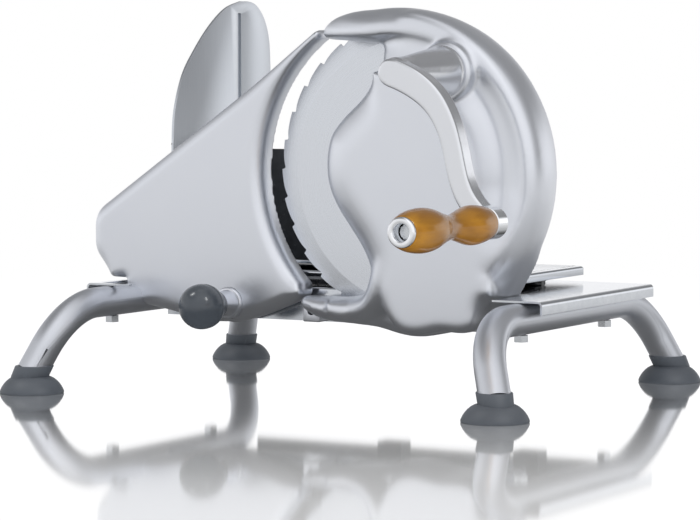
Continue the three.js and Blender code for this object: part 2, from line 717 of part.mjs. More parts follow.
/** Flush disc that covers the middle of the blade on the food side. */
function coverDisc() {
  const back = BLADE_BACK_Y + FIT + COVER_DISC_THICKNESS;
  const disc = turned([
    [0, back],
    [COVER_DISC_RADIUS - 1, back],
    [COVER_DISC_RADIUS, back - 0.8],
    [COVER_DISC_RADIUS, BLADE_BACK_Y + FIT],
    [0, BLADE_BACK_Y + FIT],
  ], 30);
  return combine([disc], [0, 1, 2].map((i) => {
    const { x, y } = onCircle(BLADE_SCREW_CIRCLE, i / 3);
    return turned([
      [0, back + 1],
      [BLADE_SCREW_HEAD_RADIUS + FIT, back + 1],
      [BLADE_SCREW_HEAD_RADIUS + FIT, back - 0.4],
      [BLADE_SCREW_RADIUS + FIT, back - COVER_DISC_THICKNESS + 0.1],
      [BLADE_SCREW_RADIUS + FIT, BLADE_BACK_Y],
      [0, BLADE_BACK_Y],
    ], SMALL_ROUND_SIDES).translate(x, 0, y);
  }));
}

/** Countersunk screw that holds the cover disc and the blade to the spindle. */
function bladeScrew() {
  const back = BLADE_BACK_Y + FIT + COVER_DISC_THICKNESS;
  return turned([
    [0, back],
    [BLADE_SCREW_HEAD_RADIUS, back],
    [BLADE_SCREW_HEAD_RADIUS, back - 0.3],
    [BLADE_SCREW_RADIUS, back - COVER_DISC_THICKNESS + 0.3],
    [BLADE_SCREW_RADIUS, bladeFrontY - HUB_FLANGE_THICKNESS + 0.8],
    [0, bladeFrontY - HUB_FLANGE_THICKNESS + 0.8],
  ], SMALL_ROUND_SIDES);
}

// Crank

const hubSeatY = faceY - FIT;
const armFrontY = hubSeatY - CRANK_REACH;
const armBackY = armFrontY + ARM_THICKNESS;

/** Outline of the S-shaped arm from the hub to the grip, round the axis of the hub. */
function armOutline() {
  const stations = [[0, 0], [7, -2.6], [15.4, -6.7], [24, -12.9], [30.8, -20.8], [36.5, -31.5], [40.1, -42.8],
    [42.6, -54], [45.6, -64.5], [51, -74.5], [GRIP_OFFSET_X, GRIP_OFFSET_Z]];
  const line = new THREE.SplineCurve(stations.map(([x, z]) => point(x, z)));
  const count = 16;
  const left = [];
  const right = [];
  for (let i = 0; i <= count; i += 1) {
    const share = i / count;
    const centre = line.getPoint(share);
    const along = line.getTangent(share);
    const narrowing = THREE.MathUtils.smoothstep(share, 0.15, 0.6);
    const half = THREE.MathUtils.lerp(ARM_END_RADIUS, ARM_LOWER_WIDTH / 2, narrowing);
    left.push(point(centre.x - along.y * half, centre.y + along.x * half));
    right.push(point(centre.x + along.y * half, centre.y - along.x * half));
  }
  return [...left, ...right.reverse()];
}

/** Crank arm: tapered hub, flat S-shaped arm and a round eye for the grip. */
function crankArm() {
  const outline = armOutline();
  const shaftBore = CRANK_SHAFT_RADIUS + RUNNING_FIT;
  const taper = turned([
    [0, hubSeatY],
    [CRANK_HUB_RADIUS - 1, hubSeatY],
    [CRANK_HUB_RADIUS, hubSeatY - 1.2],
    [CRANK_HUB_TIP_RADIUS, armBackY],
    [CRANK_HUB_TIP_RADIUS, armBackY - ARM_THICKNESS / 2],
    [0, armBackY - ARM_THICKNESS / 2],
  ]);
  return combine(
    [
      rolledPlate(outline, armBackY, armFrontY, 1.5, 1.5, 2),
      bar(ARM_END_RADIUS, armFrontY + 0.8, armBackY),
      bar(ARM_EYE_RADIUS, armFrontY, armBackY).translate(GRIP_OFFSET_X, 0, GRIP_OFFSET_Z),
      taper,
    ],
    [
      bar(shaftBore, hubSeatY + 1, armBackY + 8),
      bar(GRIP_PIN_RADIUS + RUNNING_FIT, armFrontY - 1, armBackY + 1, 12).translate(GRIP_OFFSET_X, 0, GRIP_OFFSET_Z),
    ],
  );
}

const gripBackY = armFrontY - FIT;
const gripFrontY = gripBackY - GRIP_LENGTH;

/** Radius of the wooden grip at a share of its length, counted from the arm. */
function gripProfile() {
  return new THREE.SplineCurve([
    point(GRIP_END_RADIUS + 1, 0),
    point(GRIP_FAR_RADIUS - 0.4, 0.08),
    point(GRIP_FAR_RADIUS, 0.19),
    point(GRIP_WAIST_RADIUS + 1.4, 0.34),
    point(GRIP_WAIST_RADIUS, 0.44),
    point(GRIP_WAIST_RADIUS + 1.8, 0.56),
    point(GRIP_BULB_RADIUS - 0.7, 0.7),
    point(GRIP_BULB_RADIUS, 0.81),
    point(GRIP_BULB_RADIUS - 1.2, 0.92),
    point(GRIP_END_RADIUS + 0.6, 1),
  ]).getPoints(11);
}

/** Turned wooden grip, bored for its pin and for the socket at its free end. */
function gripWood() {
  const bore = GRIP_PIN_RADIUS + FIT;
  const socket = GRIP_SOCKET_RADIUS + 1.2 + FIT;
  const socketY = gripFrontY + GRIP_SOCKET_DEPTH;
  return turned([
    [bore, gripBackY],
    ...gripProfile().map(({ x, y }) => [x, gripBackY - y * GRIP_LENGTH]),
    [socket, gripFrontY],
    [socket, socketY],
    [bore, socketY],
    [bore, gripBackY],
  ]);
}

/** Polished ferrule that lines the socket at the free end of the grip. */
function gripFerrule() {
  const outer = GRIP_SOCKET_RADIUS + 1.2;
  const lip = gripFrontY - FIT;
  return turned([
    [GRIP_SOCKET_RADIUS, gripFrontY + GRIP_SOCKET_DEPTH - FIT],
    [GRIP_SOCKET_RADIUS, lip - 2],
    [GRIP_END_RADIUS - 1, lip - 2],
    [GRIP_END_RADIUS, lip - 1],
    [GRIP_END_RADIUS, lip],
    [outer, lip],
    [outer, gripFrontY + GRIP_SOCKET_DEPTH - FIT],
    [GRIP_SOCKET_RADIUS, gripFrontY + GRIP_SOCKET_DEPTH - FIT],
  ]);
}

/** Pin that the grip turns on; its head sits in the socket. */
function gripPin() {
  const headY = gripFrontY + GRIP_SOCKET_DEPTH - FIT;
  const head = GRIP_SOCKET_RADIUS - 0.4;
  const endY = armBackY;
  return turned([
    [0, headY - 4],
    [head - 0.6, headY - 4],
    [head, headY - 3.4],
    [head, headY],
    [GRIP_PIN_RADIUS, headY],
    [GRIP_PIN_RADIUS, endY],
    [0, endY],
  ], 12);
}

/** Crank shaft, from inside the hub to the cover behind the gears. */
const crankShaft = () => bar(CRANK_SHAFT_RADIUS, coverBackY, armBackY + 8 + FIT);

/** Flanged bush that carries the crank shaft in the housing. */
function crankBush() {
  const inner = CRANK_SHAFT_RADIUS + RUNNING_FIT;
  const outer = CRANK_SHAFT_RADIUS + BUSH_WALL;
  return sleeve(outer, inner, hubSeatY + FIT, gearBackY - GEAR_WIDTH - FIT);
}

// Gauge plate

/** Outline of the gauge plate: horn, long slope, rounded heel and a right edge round the blade. */
function gaugeOutline() {
  const tipDegrees = 125.3;
  const edge = arc(bladeAxis, guardRadius, 226, tipDegrees, 15);
  const tip = onBladeAxis(guardRadius + 2.3, tipDegrees - 0.6);
  const notchX = NOTCH_LEFT_X + 2;
  const overTray = trayTopZ + 1.6;
  const heel = rounded([
    [drawnX(-60), drawnZ(188.5), 0],
    [drawnX(-175.5), drawnZ(108.7), 14],
    [drawnX(-175.5), drawnZ(84), 14],
    [drawnX(-161), overTray, 2],
    [notchX, overTray, 0],
    [notchX, KNOB_AXIS_Z - 5.4, 3],
    [KNOB_AXIS_X - 42, KNOB_AXIS_Z - 8.1, 0],
    [KNOB_AXIS_X - KNOB_BUSH_RADIUS - 3, KNOB_AXIS_Z - KNOB_BUSH_RADIUS - 2.8, 0],
  ], 4);
  return [
    ...edge,
    point(tip.x + 0.4, tip.y + 1.6),
    point(tip.x - 1.2, tip.y + 2.8),
    point(tip.x - 3.4, tip.y + 2.6),
    ...heel,
    ...arc(point(KNOB_AXIS_X, KNOB_AXIS_Z), KNOB_BUSH_RADIUS + 3, -105, -70, 3),
    ...between([
      point(KNOB_AXIS_X + 5, KNOB_AXIS_Z - KNOB_BUSH_RADIUS - 2),
      onCasting(-50, 46.2),
      onCasting(-36, 51.6),
      onCasting(-21.5, 57.6),
    ], 4),
    onCasting(-21.5, 57.6),
    onCasting(-18, 60.4),
  ];
}

const rodX = [KNOB_AXIS_X - ROD_SPACING / 2, KNOB_AXIS_X + ROD_SPACING / 2];

/** Gauge plate with rolled edges and seats for its guide rods and the adjuster. */
function gaugePlate() {
  return combine(
    [rolledPlate(gaugeOutline(), gaugeBackY, gaugeFrontY, GAUGE_EDGE_RADIUS, GAUGE_EDGE_RADIUS, 3)],
    [
      bar(ADJUSTER_RADIUS + RUNNING_FIT, gaugeFrontY - 1, gaugeBackY + 1).translate(KNOB_AXIS_X, 0, KNOB_AXIS_Z),
      bar(KNOB_BUSH_RADIUS + RUNNING_FIT, gaugeFrontY - 1, gaugeFrontY + 6).translate(KNOB_AXIS_X, 0, KNOB_AXIS_Z),
      ...rodX.map((x) => bar(ROD_RADIUS + RUNNING_FIT, gaugeBackY - ROD_DEPTH_IN_PLATE, gaugeBackY + 1)
        .translate(x, 0, KNOB_AXIS_Z)),
    ],
  );
}

/** Bush that carries the adjuster in front of the gauge plate. */
function knobBush() {
  const inner = ADJUSTER_RADIUS + RUNNING_FIT;
  const backY = gaugeFrontY + 6 - FIT;
  const frontY = gaugeFrontY - KNOB_BUSH_LENGTH;
  return turned([
    [inner, frontY],
    [KNOB_BUSH_RADIUS - 2.6, frontY],
    [KNOB_BUSH_RADIUS - 1.2, gaugeFrontY - 3],
    [KNOB_BUSH_RADIUS, gaugeFrontY - 1.5],
    [KNOB_BUSH_RADIUS, backY],
    [inner, backY],
    [inner, frontY],
  ]);
}

/** Adjusting knob: a ball with a flat neck towards the bush. */
function knob() {
  const centreY = gaugeFrontY - KNOB_REACH;
  const neckY = gaugeFrontY - KNOB_BUSH_LENGTH - FIT;
  const neckRadius = 8.5;
  const bore = ADJUSTER_RADIUS + RUNNING_FIT;
  const profile = [[0, centreY - KNOB_RADIUS]];
  for (let step = 1; step <= 7; step += 1) {
    const angle = (step / 7) * THREE.MathUtils.degToRad(143);
    profile.push([KNOB_RADIUS * Math.sin(angle), centreY - KNOB_RADIUS * Math.cos(angle)]);
  }
  profile.push([neckRadius, neckY], [bore, neckY], [bore, centreY + 1], [0, centreY + 1]);
  return turned(profile);
}

/** Threaded adjuster between the knob and the nut in the guide block. */
function adjuster() {
  const centreY = gaugeFrontY - KNOB_REACH;
  return bar(ADJUSTER_RADIUS, centreY + 1 + FIT, gaugeBackY + 30);
}

const guideFrontY = NOTCH_BACK_Y + FIT;
const guideBackY = guideFrontY + GUIDE_LENGTH;

/** Guide block under the tray: two rod bores and the nut of the adjuster between them. */
function gaugeGuide() {
  const margin = 9;
  const body = box(
    [rodX[0] - margin, guideFrontY, KNOB_AXIS_Z - GUIDE_HEIGHT / 2],
    [rodX[1] + margin, guideBackY, KNOB_AXIS_Z + GUIDE_HEIGHT / 2],
  );
  return combine([body], [
    ...rodX.map((x) => bar(ROD_RADIUS + RUNNING_FIT, guideFrontY - 1, guideBackY + 1).translate(x, 0, KNOB_AXIS_Z)),
    bar(ADJUSTER_RADIUS + RUNNING_FIT, guideFrontY - 1, guideBackY + 1).translate(KNOB_AXIS_X, 0, KNOB_AXIS_Z),
    ...guideScrewX.map((x) => bar(COVER_SCREW_RADIUS + FIT, guideFrontY - 1, guideFrontY + 12, SMALL_ROUND_SIDES)
      .translate(x, 0, KNOB_AXIS_Z)),
  ]);
}

const guideScrewX = [KNOB_AXIS_X - 12, KNOB_AXIS_X + 12];

/** Screw that holds the guide block to the flange; its head is on the crank side. */
function guideScrew() {
  const headY = NOTCH_BACK_Y - SHEET;
  const headRadius = COVER_SCREW_RADIUS * 1.9;
  return turned([
    [0, headY - GUIDE_SCREW_HEAD],
    [headRadius - 0.6, headY - GUIDE_SCREW_HEAD],
    [headRadius, headY - GUIDE_SCREW_HEAD / 2],
    [headRadius, headY - 0.05],
    [COVER_SCREW_RADIUS, headY - 0.05],
    [COVER_SCREW_RADIUS, guideFrontY + 11],
    [0, guideFrontY + 11],
  ], SMALL_ROUND_SIDES);
}

// Base

/** Solid bar through four corners with round bends at the two inner ones. */
function bentBar(corners, bendRadius, barRadius, sides) {
  const stations = [corners[0]];
  for (const i of [1, 2]) {
    const back = corners[i - 1].clone().sub(corners[i]).normalize();
    const ahead = corners[i + 1].clone().sub(corners[i]).normalize();
    const half = back.angleTo(ahead) / 2;
    const middle = back.clone().add(ahead).normalize();
    const centre = corners[i].clone().addScaledVector(middle, bendRadius / Math.sin(half));
    const start = back.clone().multiplyScalar(bendRadius / Math.tan(half)).add(corners[i]).sub(centre);
    const axis = back.clone().cross(ahead).normalize();
    const steps = 4;
    for (let step = 0; step <= steps; step += 1) {
      const angle = (-step / steps) * (Math.PI - 2 * half);
      stations.push(start.clone().applyAxisAngle(axis, angle).add(centre));
    }
  }
  stations.push(corners[3]);
  const upward = new THREE.Vector3(0, 0, 1);
  const rings = stations.map((centre, i) => {
    const before = stations[Math.max(i - 1, 0)];
    const after = stations[Math.min(i + 1, stations.length - 1)];
    const along = after.clone().sub(before).normalize();
    const across = along.clone().cross(upward).normalize();
    const over = across.clone().cross(along);
    return circle(0, 0, barRadius, sides).map(({ x, y }) =>
      centre.clone().addScaledVector(across, x).addScaledVector(over, y));
  });
  return loft(rings);
}

/** Corners of a leg tube on one side, from the front foot to the rear foot. */
function legCorners(side) {
  const x = (side * TUBE_SPACING) / 2;
  const footX = x + side * LEG_OUT_X;
  const footY = TUBE_CORNER_Y + LEG_OUT_Y;
  return [
    new THREE.Vector3(footX, -footY, LEG_END_Z),
    new THREE.Vector3(x, -TUBE_CORNER_Y, TUBE_AXIS_Z),
    new THREE.Vector3(x, TUBE_CORNER_Y, TUBE_AXIS_Z),
    new THREE.Vector3(footX, footY, LEG_END_Z),
  ];
}

/** Leg: one round tube bent down at both ends, drilled for the studs of the tray. */
function legTube(side) {
  const corners = legCorners(side);
  const outward = corners[0].clone().sub(corners[1]).normalize();
  const bore = [
    corners[0].clone().add(outward),
    corners[1],
    corners[2],
    corners[3].clone().add(new THREE.Vector3(outward.x, -outward.y, outward.z)),
  ];
  const studs = [-1, 1].map((end) => upright(bar(STUD_RADIUS + FIT, -TUBE_RADIUS - 1, TUBE_RADIUS + 1, SMALL_ROUND_SIDES))
    .translate((side * TUBE_SPACING) / 2, (end * STUD_SPACING_Y) / 2, TUBE_AXIS_Z));
  return combine(
    [bentBar(corners, TUBE_BEND_RADIUS, TUBE_RADIUS, 12)],
    [bentBar(bore, TUBE_BEND_RADIUS, TUBE_RADIUS - TUBE_WALL, SMALL_ROUND_SIDES), ...studs],
  );
}

/** Rubber foot: hollow skirt, neck in line with the tube and a plug inside it. */
function foot(side, end) {
  const corners = legCorners(side);
  const tip = end < 0 ? corners[0] : corners[3];
  const next = end < 0 ? corners[1] : corners[2];
  const along = next.clone().sub(tip).normalize();
  const skirt = upright(turned([
    [0, 2.5],
    [FOOT_RADIUS - 8, 2.5],
    [FOOT_RADIUS - 4, 0],
    [FOOT_RADIUS, 0],
    [FOOT_RADIUS, 1.5],
    [FOOT_RADIUS - 3.5, FOOT_SKIRT_HEIGHT * 0.55],
    [FOOT_NECK_RADIUS + 0.6, FOOT_SKIRT_HEIGHT],
    [0, FOOT_SKIRT_HEIGHT],
  ])).translate(tip.x, tip.y, 0);
  const tilt = new THREE.Quaternion().setFromUnitVectors(new THREE.Vector3(0, 1, 0), along);
  const inLine = (geometry) => geometry.applyQuaternion(tilt).translate(tip.x, tip.y, tip.z);
  const floorCut = box([tip.x - 40, tip.y - 40, -30], [tip.x + 40, tip.y + 40, 4]);
  return combine([
    combine([inLine(bar(FOOT_NECK_RADIUS, -14, -FIT, 12))], [floorCut]),
    skirt,
    inLine(bar(TUBE_RADIUS - TUBE_WALL - 0.8, -4, FOOT_PLUG_LENGTH, SMALL_ROUND_SIDES)),
  ]);
}

/** Sheet tray: ends turned down, a notch for the housing and the gauge plate, and studs for the legs. */
function baseTray() {
  const half = TRAY_LENGTH / 2;
  const endZ = trayTopZ - TRAY_END_DROP;
  const outer = rounded([
    [-half, endZ, 0],
    [-half, trayTopZ, TRAY_BEND_RADIUS],
    [half, trayTopZ, TRAY_BEND_RADIUS],
    [half, endZ, 0],
  ], 4);
  const inner = rounded([
    [half - SHEET, endZ, 0],
    [half - SHEET, trayUnderZ, TRAY_BEND_RADIUS - SHEET],
    [-half + SHEET, trayUnderZ, TRAY_BEND_RADIUS - SHEET],
    [-half + SHEET, endZ, 0],
  ], 4);
  const cut = SHEET / 2;
  const betweenTubes = TUBE_SPACING / 2 - TUBE_RADIUS - 4;
  const studX = TUBE_SPACING / 2;
  const studs = [-1, 1].flatMap((side) => [-1, 1].map((end) =>
    upright(bar(STUD_RADIUS, TUBE_AXIS_Z - TUBE_RADIUS - NUT_HEIGHT - 1.5, trayUnderZ + cut, SMALL_ROUND_SIDES))
      .translate(side * studX, (end * STUD_SPACING_Y) / 2, 0)));
  const sheet = combine(
    [
      plate([...outer, ...inner], TRAY_BACK_Y, TRAY_FRONT_Y),
      box([-betweenTubes, TRAY_BACK_Y - SHEET, trayTopZ - TRAY_BACK_DROP], [betweenTubes, TRAY_BACK_Y, trayUnderZ + cut]),
    ],
    [box([NOTCH_LEFT_X, TRAY_FRONT_Y - 1, 0], [NOTCH_RIGHT_X, NOTCH_BACK_Y - cut, trayTopZ + 1])],
  );
  const flange = box(
    [NOTCH_LEFT_X, NOTCH_BACK_Y - SHEET, NOTCH_FLANGE_BOTTOM_Z],
    [NOTCH_RIGHT_X, NOTCH_BACK_Y, trayTopZ],
  );
  const acrossFlange = (x, z, radius) => bar(radius, NOTCH_BACK_Y - SHEET - 1, NOTCH_BACK_Y + 1, 10).translate(x, 0, z);
  return combine([sheet, flange, ...studs], [
    ...footPads.map(({ screwX }) => acrossFlange(screwX, padScrewZ, FRAME_SCREW_RADIUS + FIT)),
    ...rodX.map((x) => acrossFlange(x, KNOB_AXIS_Z, ROD_RADIUS + 1)),
    acrossFlange(KNOB_AXIS_X, KNOB_AXIS_Z, ADJUSTER_RADIUS + 1),
    ...guideScrewX.map((x) => acrossFlange(x, KNOB_AXIS_Z, COVER_SCREW_RADIUS + FIT)),
    ...GUIDE_BLOCK_X.map((x) => box(
      [x - GUIDE_BLOCK_LENGTH / 2, RAIL_Y - 2.5, trayUnderZ - 1],
      [x + GUIDE_BLOCK_LENGTH / 2, RAIL_Y + 2.5, trayTopZ + 1],
    )),
  ]);
}

/** Hexagon nut under a leg tube. */
function studNut() {
  const topZ = TUBE_AXIS_Z - TUBE_RADIUS - 0.05;
  const outer = NUT_WIDTH / 2 / Math.cos(Math.PI / 6);
  const shape = new THREE.Shape(circle(0, 0, outer, 6));
  shape.holes.push(new THREE.Path(circle(0, 0, STUD_RADIUS + RUNNING_FIT, SMALL_ROUND_SIDES)));
  const nut = new THREE.ExtrudeGeometry(shape, { depth: NUT_HEIGHT, bevelEnabled: false });
  return nut.translate(0, 0, topZ - NUT_HEIGHT);
}

// Food table

/** Food table: a sheet with its edges turned down. */
function foodTable() {
  const under = TABLE_TOP_Z - TABLE_SHEET;
  const lowZ = TABLE_TOP_Z - TABLE_EDGE;
  const outer = rounded([
    [TABLE_LEFT_X, TABLE_FRONT_Y, 4],
    [TABLE_RIGHT_X, TABLE_FRONT_Y, 6],
    [TABLE_RIGHT_X, TABLE_BACK_Y, 6],
    [TABLE_LEFT_X, TABLE_BACK_Y, 4],
  ], 4);
  const block = (outline, fromZ, toZ) =>
    new THREE.ExtrudeGeometry(new THREE.Shape(outline), { depth: toZ - fromZ, bevelEnabled: false })
      .translate(0, 0, fromZ);
  return combine([block(outer, lowZ, TABLE_TOP_Z)], [
    block(inset(outer, TABLE_SHEET), lowZ - 1, under),
    box([TABLE_LEFT_X - 1, TABLE_FRONT_Y - 1, lowZ - 1], [TABLE_LEFT_X + 3, TABLE_BACK_Y + 1, under]),
    ...rivetY.map((y) => upright(bar(RIVET_RADIUS + RUNNING_FIT, under - 1, TABLE_TOP_Z + 1, SMALL_ROUND_SIDES))
      .translate(rivetX, y, 0)),
  ]);
}

const rivetX = TABLE_LEFT_X + PUSHER_FOOT - 6;
const rivetY = [12, 84];

/** Slide rail under the table: a channel that closes round the heads of the guide blocks. */
function tableRail() {
  const half = RAIL_WIDTH / 2;
  const fromX = TABLE_LEFT_X + PUSHER_FOOT + 2;
  const lip = railBottomZ + RAIL_WALL;
  return combine(
    [box([fromX, RAIL_Y - half, railBottomZ], [fromX + RAIL_LENGTH - 12, RAIL_Y + half, railTopZ])],
    [
      box([fromX - 1, RAIL_Y - half + RAIL_WALL, lip], [fromX + RAIL_LENGTH, RAIL_Y + half - RAIL_WALL, railTopZ - 1.2]),
      box([fromX - 1, RAIL_Y - RAIL_SLOT / 2, railBottomZ - 1], [fromX + RAIL_LENGTH, RAIL_Y + RAIL_SLOT / 2, lip + 1]),
    ],
  );
}

/** Guide block: foot under the tray, neck through it and a head inside the rail. */
function guideBlock() {
  const halfLength = GUIDE_BLOCK_LENGTH / 2 - FIT;
  const half = GUIDE_BLOCK_WIDTH / 2;
  const neck = RAIL_SLOT / 2 - FIT - 0.25;
  const head = RAIL_WIDTH / 2 - RAIL_WALL - FIT;
  const headZ = railBottomZ + RAIL_WALL + FIT;
  return combine([
    box([-halfLength, -half, GUIDE_BLOCK_BOTTOM_Z], [halfLength, half, trayUnderZ - FIT]),
    box([-halfLength, -neck, trayUnderZ - FIT - 1], [halfLength, neck, headZ + 1]),
    box([-halfLength, -head, headZ], [halfLength, head, headZ + GUIDE_HEAD_HEIGHT - 1]),
  ]);
}

/** Outline of the pusher plate in the YZ plane, given as points (y, z). */
function pusherOutline() {
  const low = TABLE_TOP_Z - TABLE_SHEET - FIT;
  const nearY = TABLE_FRONT_Y + FIT;
  const farY = TABLE_BACK_Y + 2;
  const place = ([share, rise]) => point(THREE.MathUtils.lerp(nearY, farY, share), PUSHER_TOP_Z * rise);
  const near = [[0, 0.618], [0.018, 0.707], [0.098, 0.801], [0.227, 0.872], [0.377, 0.935], [0.531, 0.98], [0.686, 1]];
  const far = [[0.686, 1], [0.783, 0.999], [0.863, 0.986], [0.94, 0.949], [0.986, 0.894], [1, 0.813]];
  return [
    point(nearY, low),
    place(near[0]),
    ...between(near.map(place), 12),
    place(far[0]),
    ...between(far.map(place), 8),
    place(far[far.length - 1]),
    point(farY, low),
  ];
}

/** Pusher plate: upright sheet with a pressed bead, a slot for the holder and a foot under the table. */
function pusherPlate() {
  const backX = TABLE_LEFT_X - FIT;
  const frontX = backX - PUSHER_SHEET;
  const footTop = TABLE_TOP_Z - TABLE_SHEET - FIT;
  const shape = new THREE.Shape(pusherOutline());
  shape.holes.push(new THREE.Path(rounded([
    [HOLDER_SLOT_FRONT_Y, HOLDER_SLOT_Z - HOLDER_BOLT_RADIUS - FIT, HOLDER_BOLT_RADIUS],
    [HOLDER_SLOT_BACK_Y, HOLDER_SLOT_Z - HOLDER_BOLT_RADIUS - FIT, HOLDER_BOLT_RADIUS],
    [HOLDER_SLOT_BACK_Y, HOLDER_SLOT_Z + HOLDER_BOLT_RADIUS + FIT, HOLDER_BOLT_RADIUS],
    [HOLDER_SLOT_FRONT_Y, HOLDER_SLOT_Z + HOLDER_BOLT_RADIUS + FIT, HOLDER_BOLT_RADIUS],
  ], 4)));
  const sheet = new THREE.ExtrudeGeometry(shape, { depth: PUSHER_SHEET, bevelEnabled: false });
  sheet.applyMatrix4(new THREE.Matrix4().set(0, 0, 1, frontX, 1, 0, 0, 0, 0, 1, 0, 0, 0, 0, 0, 1));
  const bead = upright(turned([
    [0, HOLDER_SLOT_Z + 14],
    [BEAD_WIDTH / 2, HOLDER_SLOT_Z + 14],
    [BEAD_WIDTH / 2, PUSHER_TOP_Z - 3],
    [0, PUSHER_TOP_Z - 3],
  ])).scale(BEAD_HEIGHT / (BEAD_WIDTH / 2), 1, 1).translate(frontX, BEAD_Y, 0);
  const behind = box([backX, TABLE_FRONT_Y, 0], [backX + BEAD_WIDTH, TABLE_BACK_Y, PUSHER_TOP_Z + 1]);
  return combine(
    [
      sheet,
      combine([bead], [behind]),
      box([frontX, TABLE_FRONT_Y + 6, footTop - PUSHER_SHEET], [TABLE_LEFT_X + PUSHER_FOOT, TABLE_BACK_Y - 6, footTop]),
    ],
    rivetY.map((y) => upright(bar(RIVET_RADIUS + RUNNING_FIT, footTop - PUSHER_SHEET - 1, footTop + 1, SMALL_ROUND_SIDES))
      .translate(rivetX, y, 0)),
  );
}

/** Rivet through the table and the foot of the pusher plate, flush with the table. */
function tableRivet() {
  const lowZ = TABLE_TOP_Z - TABLE_SHEET - FIT - PUSHER_SHEET - 0.05;
  return upright(turned([
    [0, lowZ - RIVET_HEAD_HEIGHT],
    [RIVET_HEAD_RADIUS * 0.6, lowZ - RIVET_HEAD_HEIGHT],
    [RIVET_HEAD_RADIUS, lowZ],
    [RIVET_RADIUS, lowZ],
    [RIVET_RADIUS, TABLE_TOP_Z],
    [0, TABLE_TOP_Z],
  ], SMALL_ROUND_SIDES));
}

// Food holder

const holderLeftX = TABLE_LEFT_X + FIT;
const holderBoltY = HOLDER_Y + 11;

/** Food holder: upright plate across the table with a foot along the pusher plate. */
function foodHolder() {
  const lowZ = TABLE_TOP_Z + 0.6;
  const topZ = lowZ + HOLDER_HEIGHT;
  const corner = rounded([
    [holderLeftX, lowZ, 0],
    [holderLeftX + HOLDER_LENGTH, lowZ, 4],
    [holderLeftX + HOLDER_LENGTH, topZ, 14],
    [holderLeftX, topZ, 0],
  ], 4);
  const grip = rounded([
    [holderLeftX + 2, topZ - 10, 0],
    [holderLeftX + HOLDER_LENGTH - 8, topZ - 10, 3],
    [holderLeftX + HOLDER_LENGTH - 8, topZ - 3, 3],
    [holderLeftX + 2, topZ - 3, 0],
  ], 3);
  return combine(
    [
      plate(corner, HOLDER_Y + HOLDER_THICKNESS / 2, HOLDER_Y - HOLDER_THICKNESS / 2),
      plate(grip, HOLDER_Y + HOLDER_THICKNESS / 2 + 3, HOLDER_Y),
      box([holderLeftX, HOLDER_Y, lowZ], [holderLeftX + HOLDER_THICKNESS, HOLDER_Y + HOLDER_FOOT, lowZ + 44]),
    ],
    [alongX(HOLDER_BOLT_RADIUS + RUNNING_FIT, holderLeftX - 1, holderLeftX + HOLDER_THICKNESS + 1)
      .translate(0, holderBoltY, HOLDER_SLOT_Z)],
  );
}

/** Round bar along X. */
function alongX(radius, fromX, toX, segments = 16) {
  return bar(radius, -toX, -fromX, segments).rotateZ(Math.PI / 2);
}

/** Bolt of the holder, with its head on the food side. */
function holderBolt() {
  const headX = holderLeftX + HOLDER_THICKNESS + 0.05;
  const endX = TABLE_LEFT_X - FIT - PUSHER_SHEET - HOLDER_KNOB_LENGTH + 4;
  return combine([
    alongX(HOLDER_BOLT_RADIUS, endX, headX + 1),
    alongX(HOLDER_BOLT_RADIUS + 2.5, headX, headX + 2.5),
  ]).translate(0, holderBoltY, HOLDER_SLOT_Z);
}

/** Knob that moves the holder along the slot. */
function holderKnob() {
  const faceX = TABLE_LEFT_X - 2 * FIT - PUSHER_SHEET;
  const profile = [
    [HOLDER_BOLT_RADIUS + RUNNING_FIT, -faceX],
    [6, -faceX],
    [6, -faceX + 4],
    [HOLDER_KNOB_RADIUS, -faceX + 7],
    [HOLDER_KNOB_RADIUS, -faceX + HOLDER_KNOB_LENGTH - 3],
    [HOLDER_KNOB_RADIUS - 3, -faceX + HOLDER_KNOB_LENGTH],
    [0, -faceX + HOLDER_KNOB_LENGTH],
    [0, -faceX + HOLDER_KNOB_LENGTH - 3],
    [HOLDER_BOLT_RADIUS + RUNNING_FIT, -faceX + HOLDER_KNOB_LENGTH - 3],
    [HOLDER_BOLT_RADIUS + RUNNING_FIT, -faceX],
  ];
  return turned(profile, 14).rotateZ(Math.PI / 2).translate(0, holderBoltY, HOLDER_SLOT_Z);
}

// Assembly

/** Makes a named mesh, adds it to a group and places it. */
function add(group, name, geometry, material, place = [0, 0, 0], turn = 0) {
  const mesh = new THREE.Mesh(geometry, material());
  mesh.name = name;
  mesh.position.set(...place);
  mesh.rotation.y = -turn;
  group.add(mesh);
  return mesh;
}

const slicer = new THREE.Group();

const base = new THREE.Group();
add(base, 'base_tray', baseTray(), polishedSteel);
for (const [side, sideName] of [[-1, 'left'], [1, 'right']]) {
  add(base, `leg_tube_${sideName}`, legTube(side), castSilver);
  for (const [end, endName] of [[-1, 'front'], [1, 'rear']]) {
    add(base, `foot_${sideName}_${endName}`, foot(side, end), greyRubber);
    const nutPlace = [(side * TUBE_SPACING) / 2, (end * STUD_SPACING_Y) / 2, 0];
    add(base, `leg_nut_${sideName}_${endName}`, studNut(), brushedSteel, nutPlace);
  }
}
slicer.add(base);

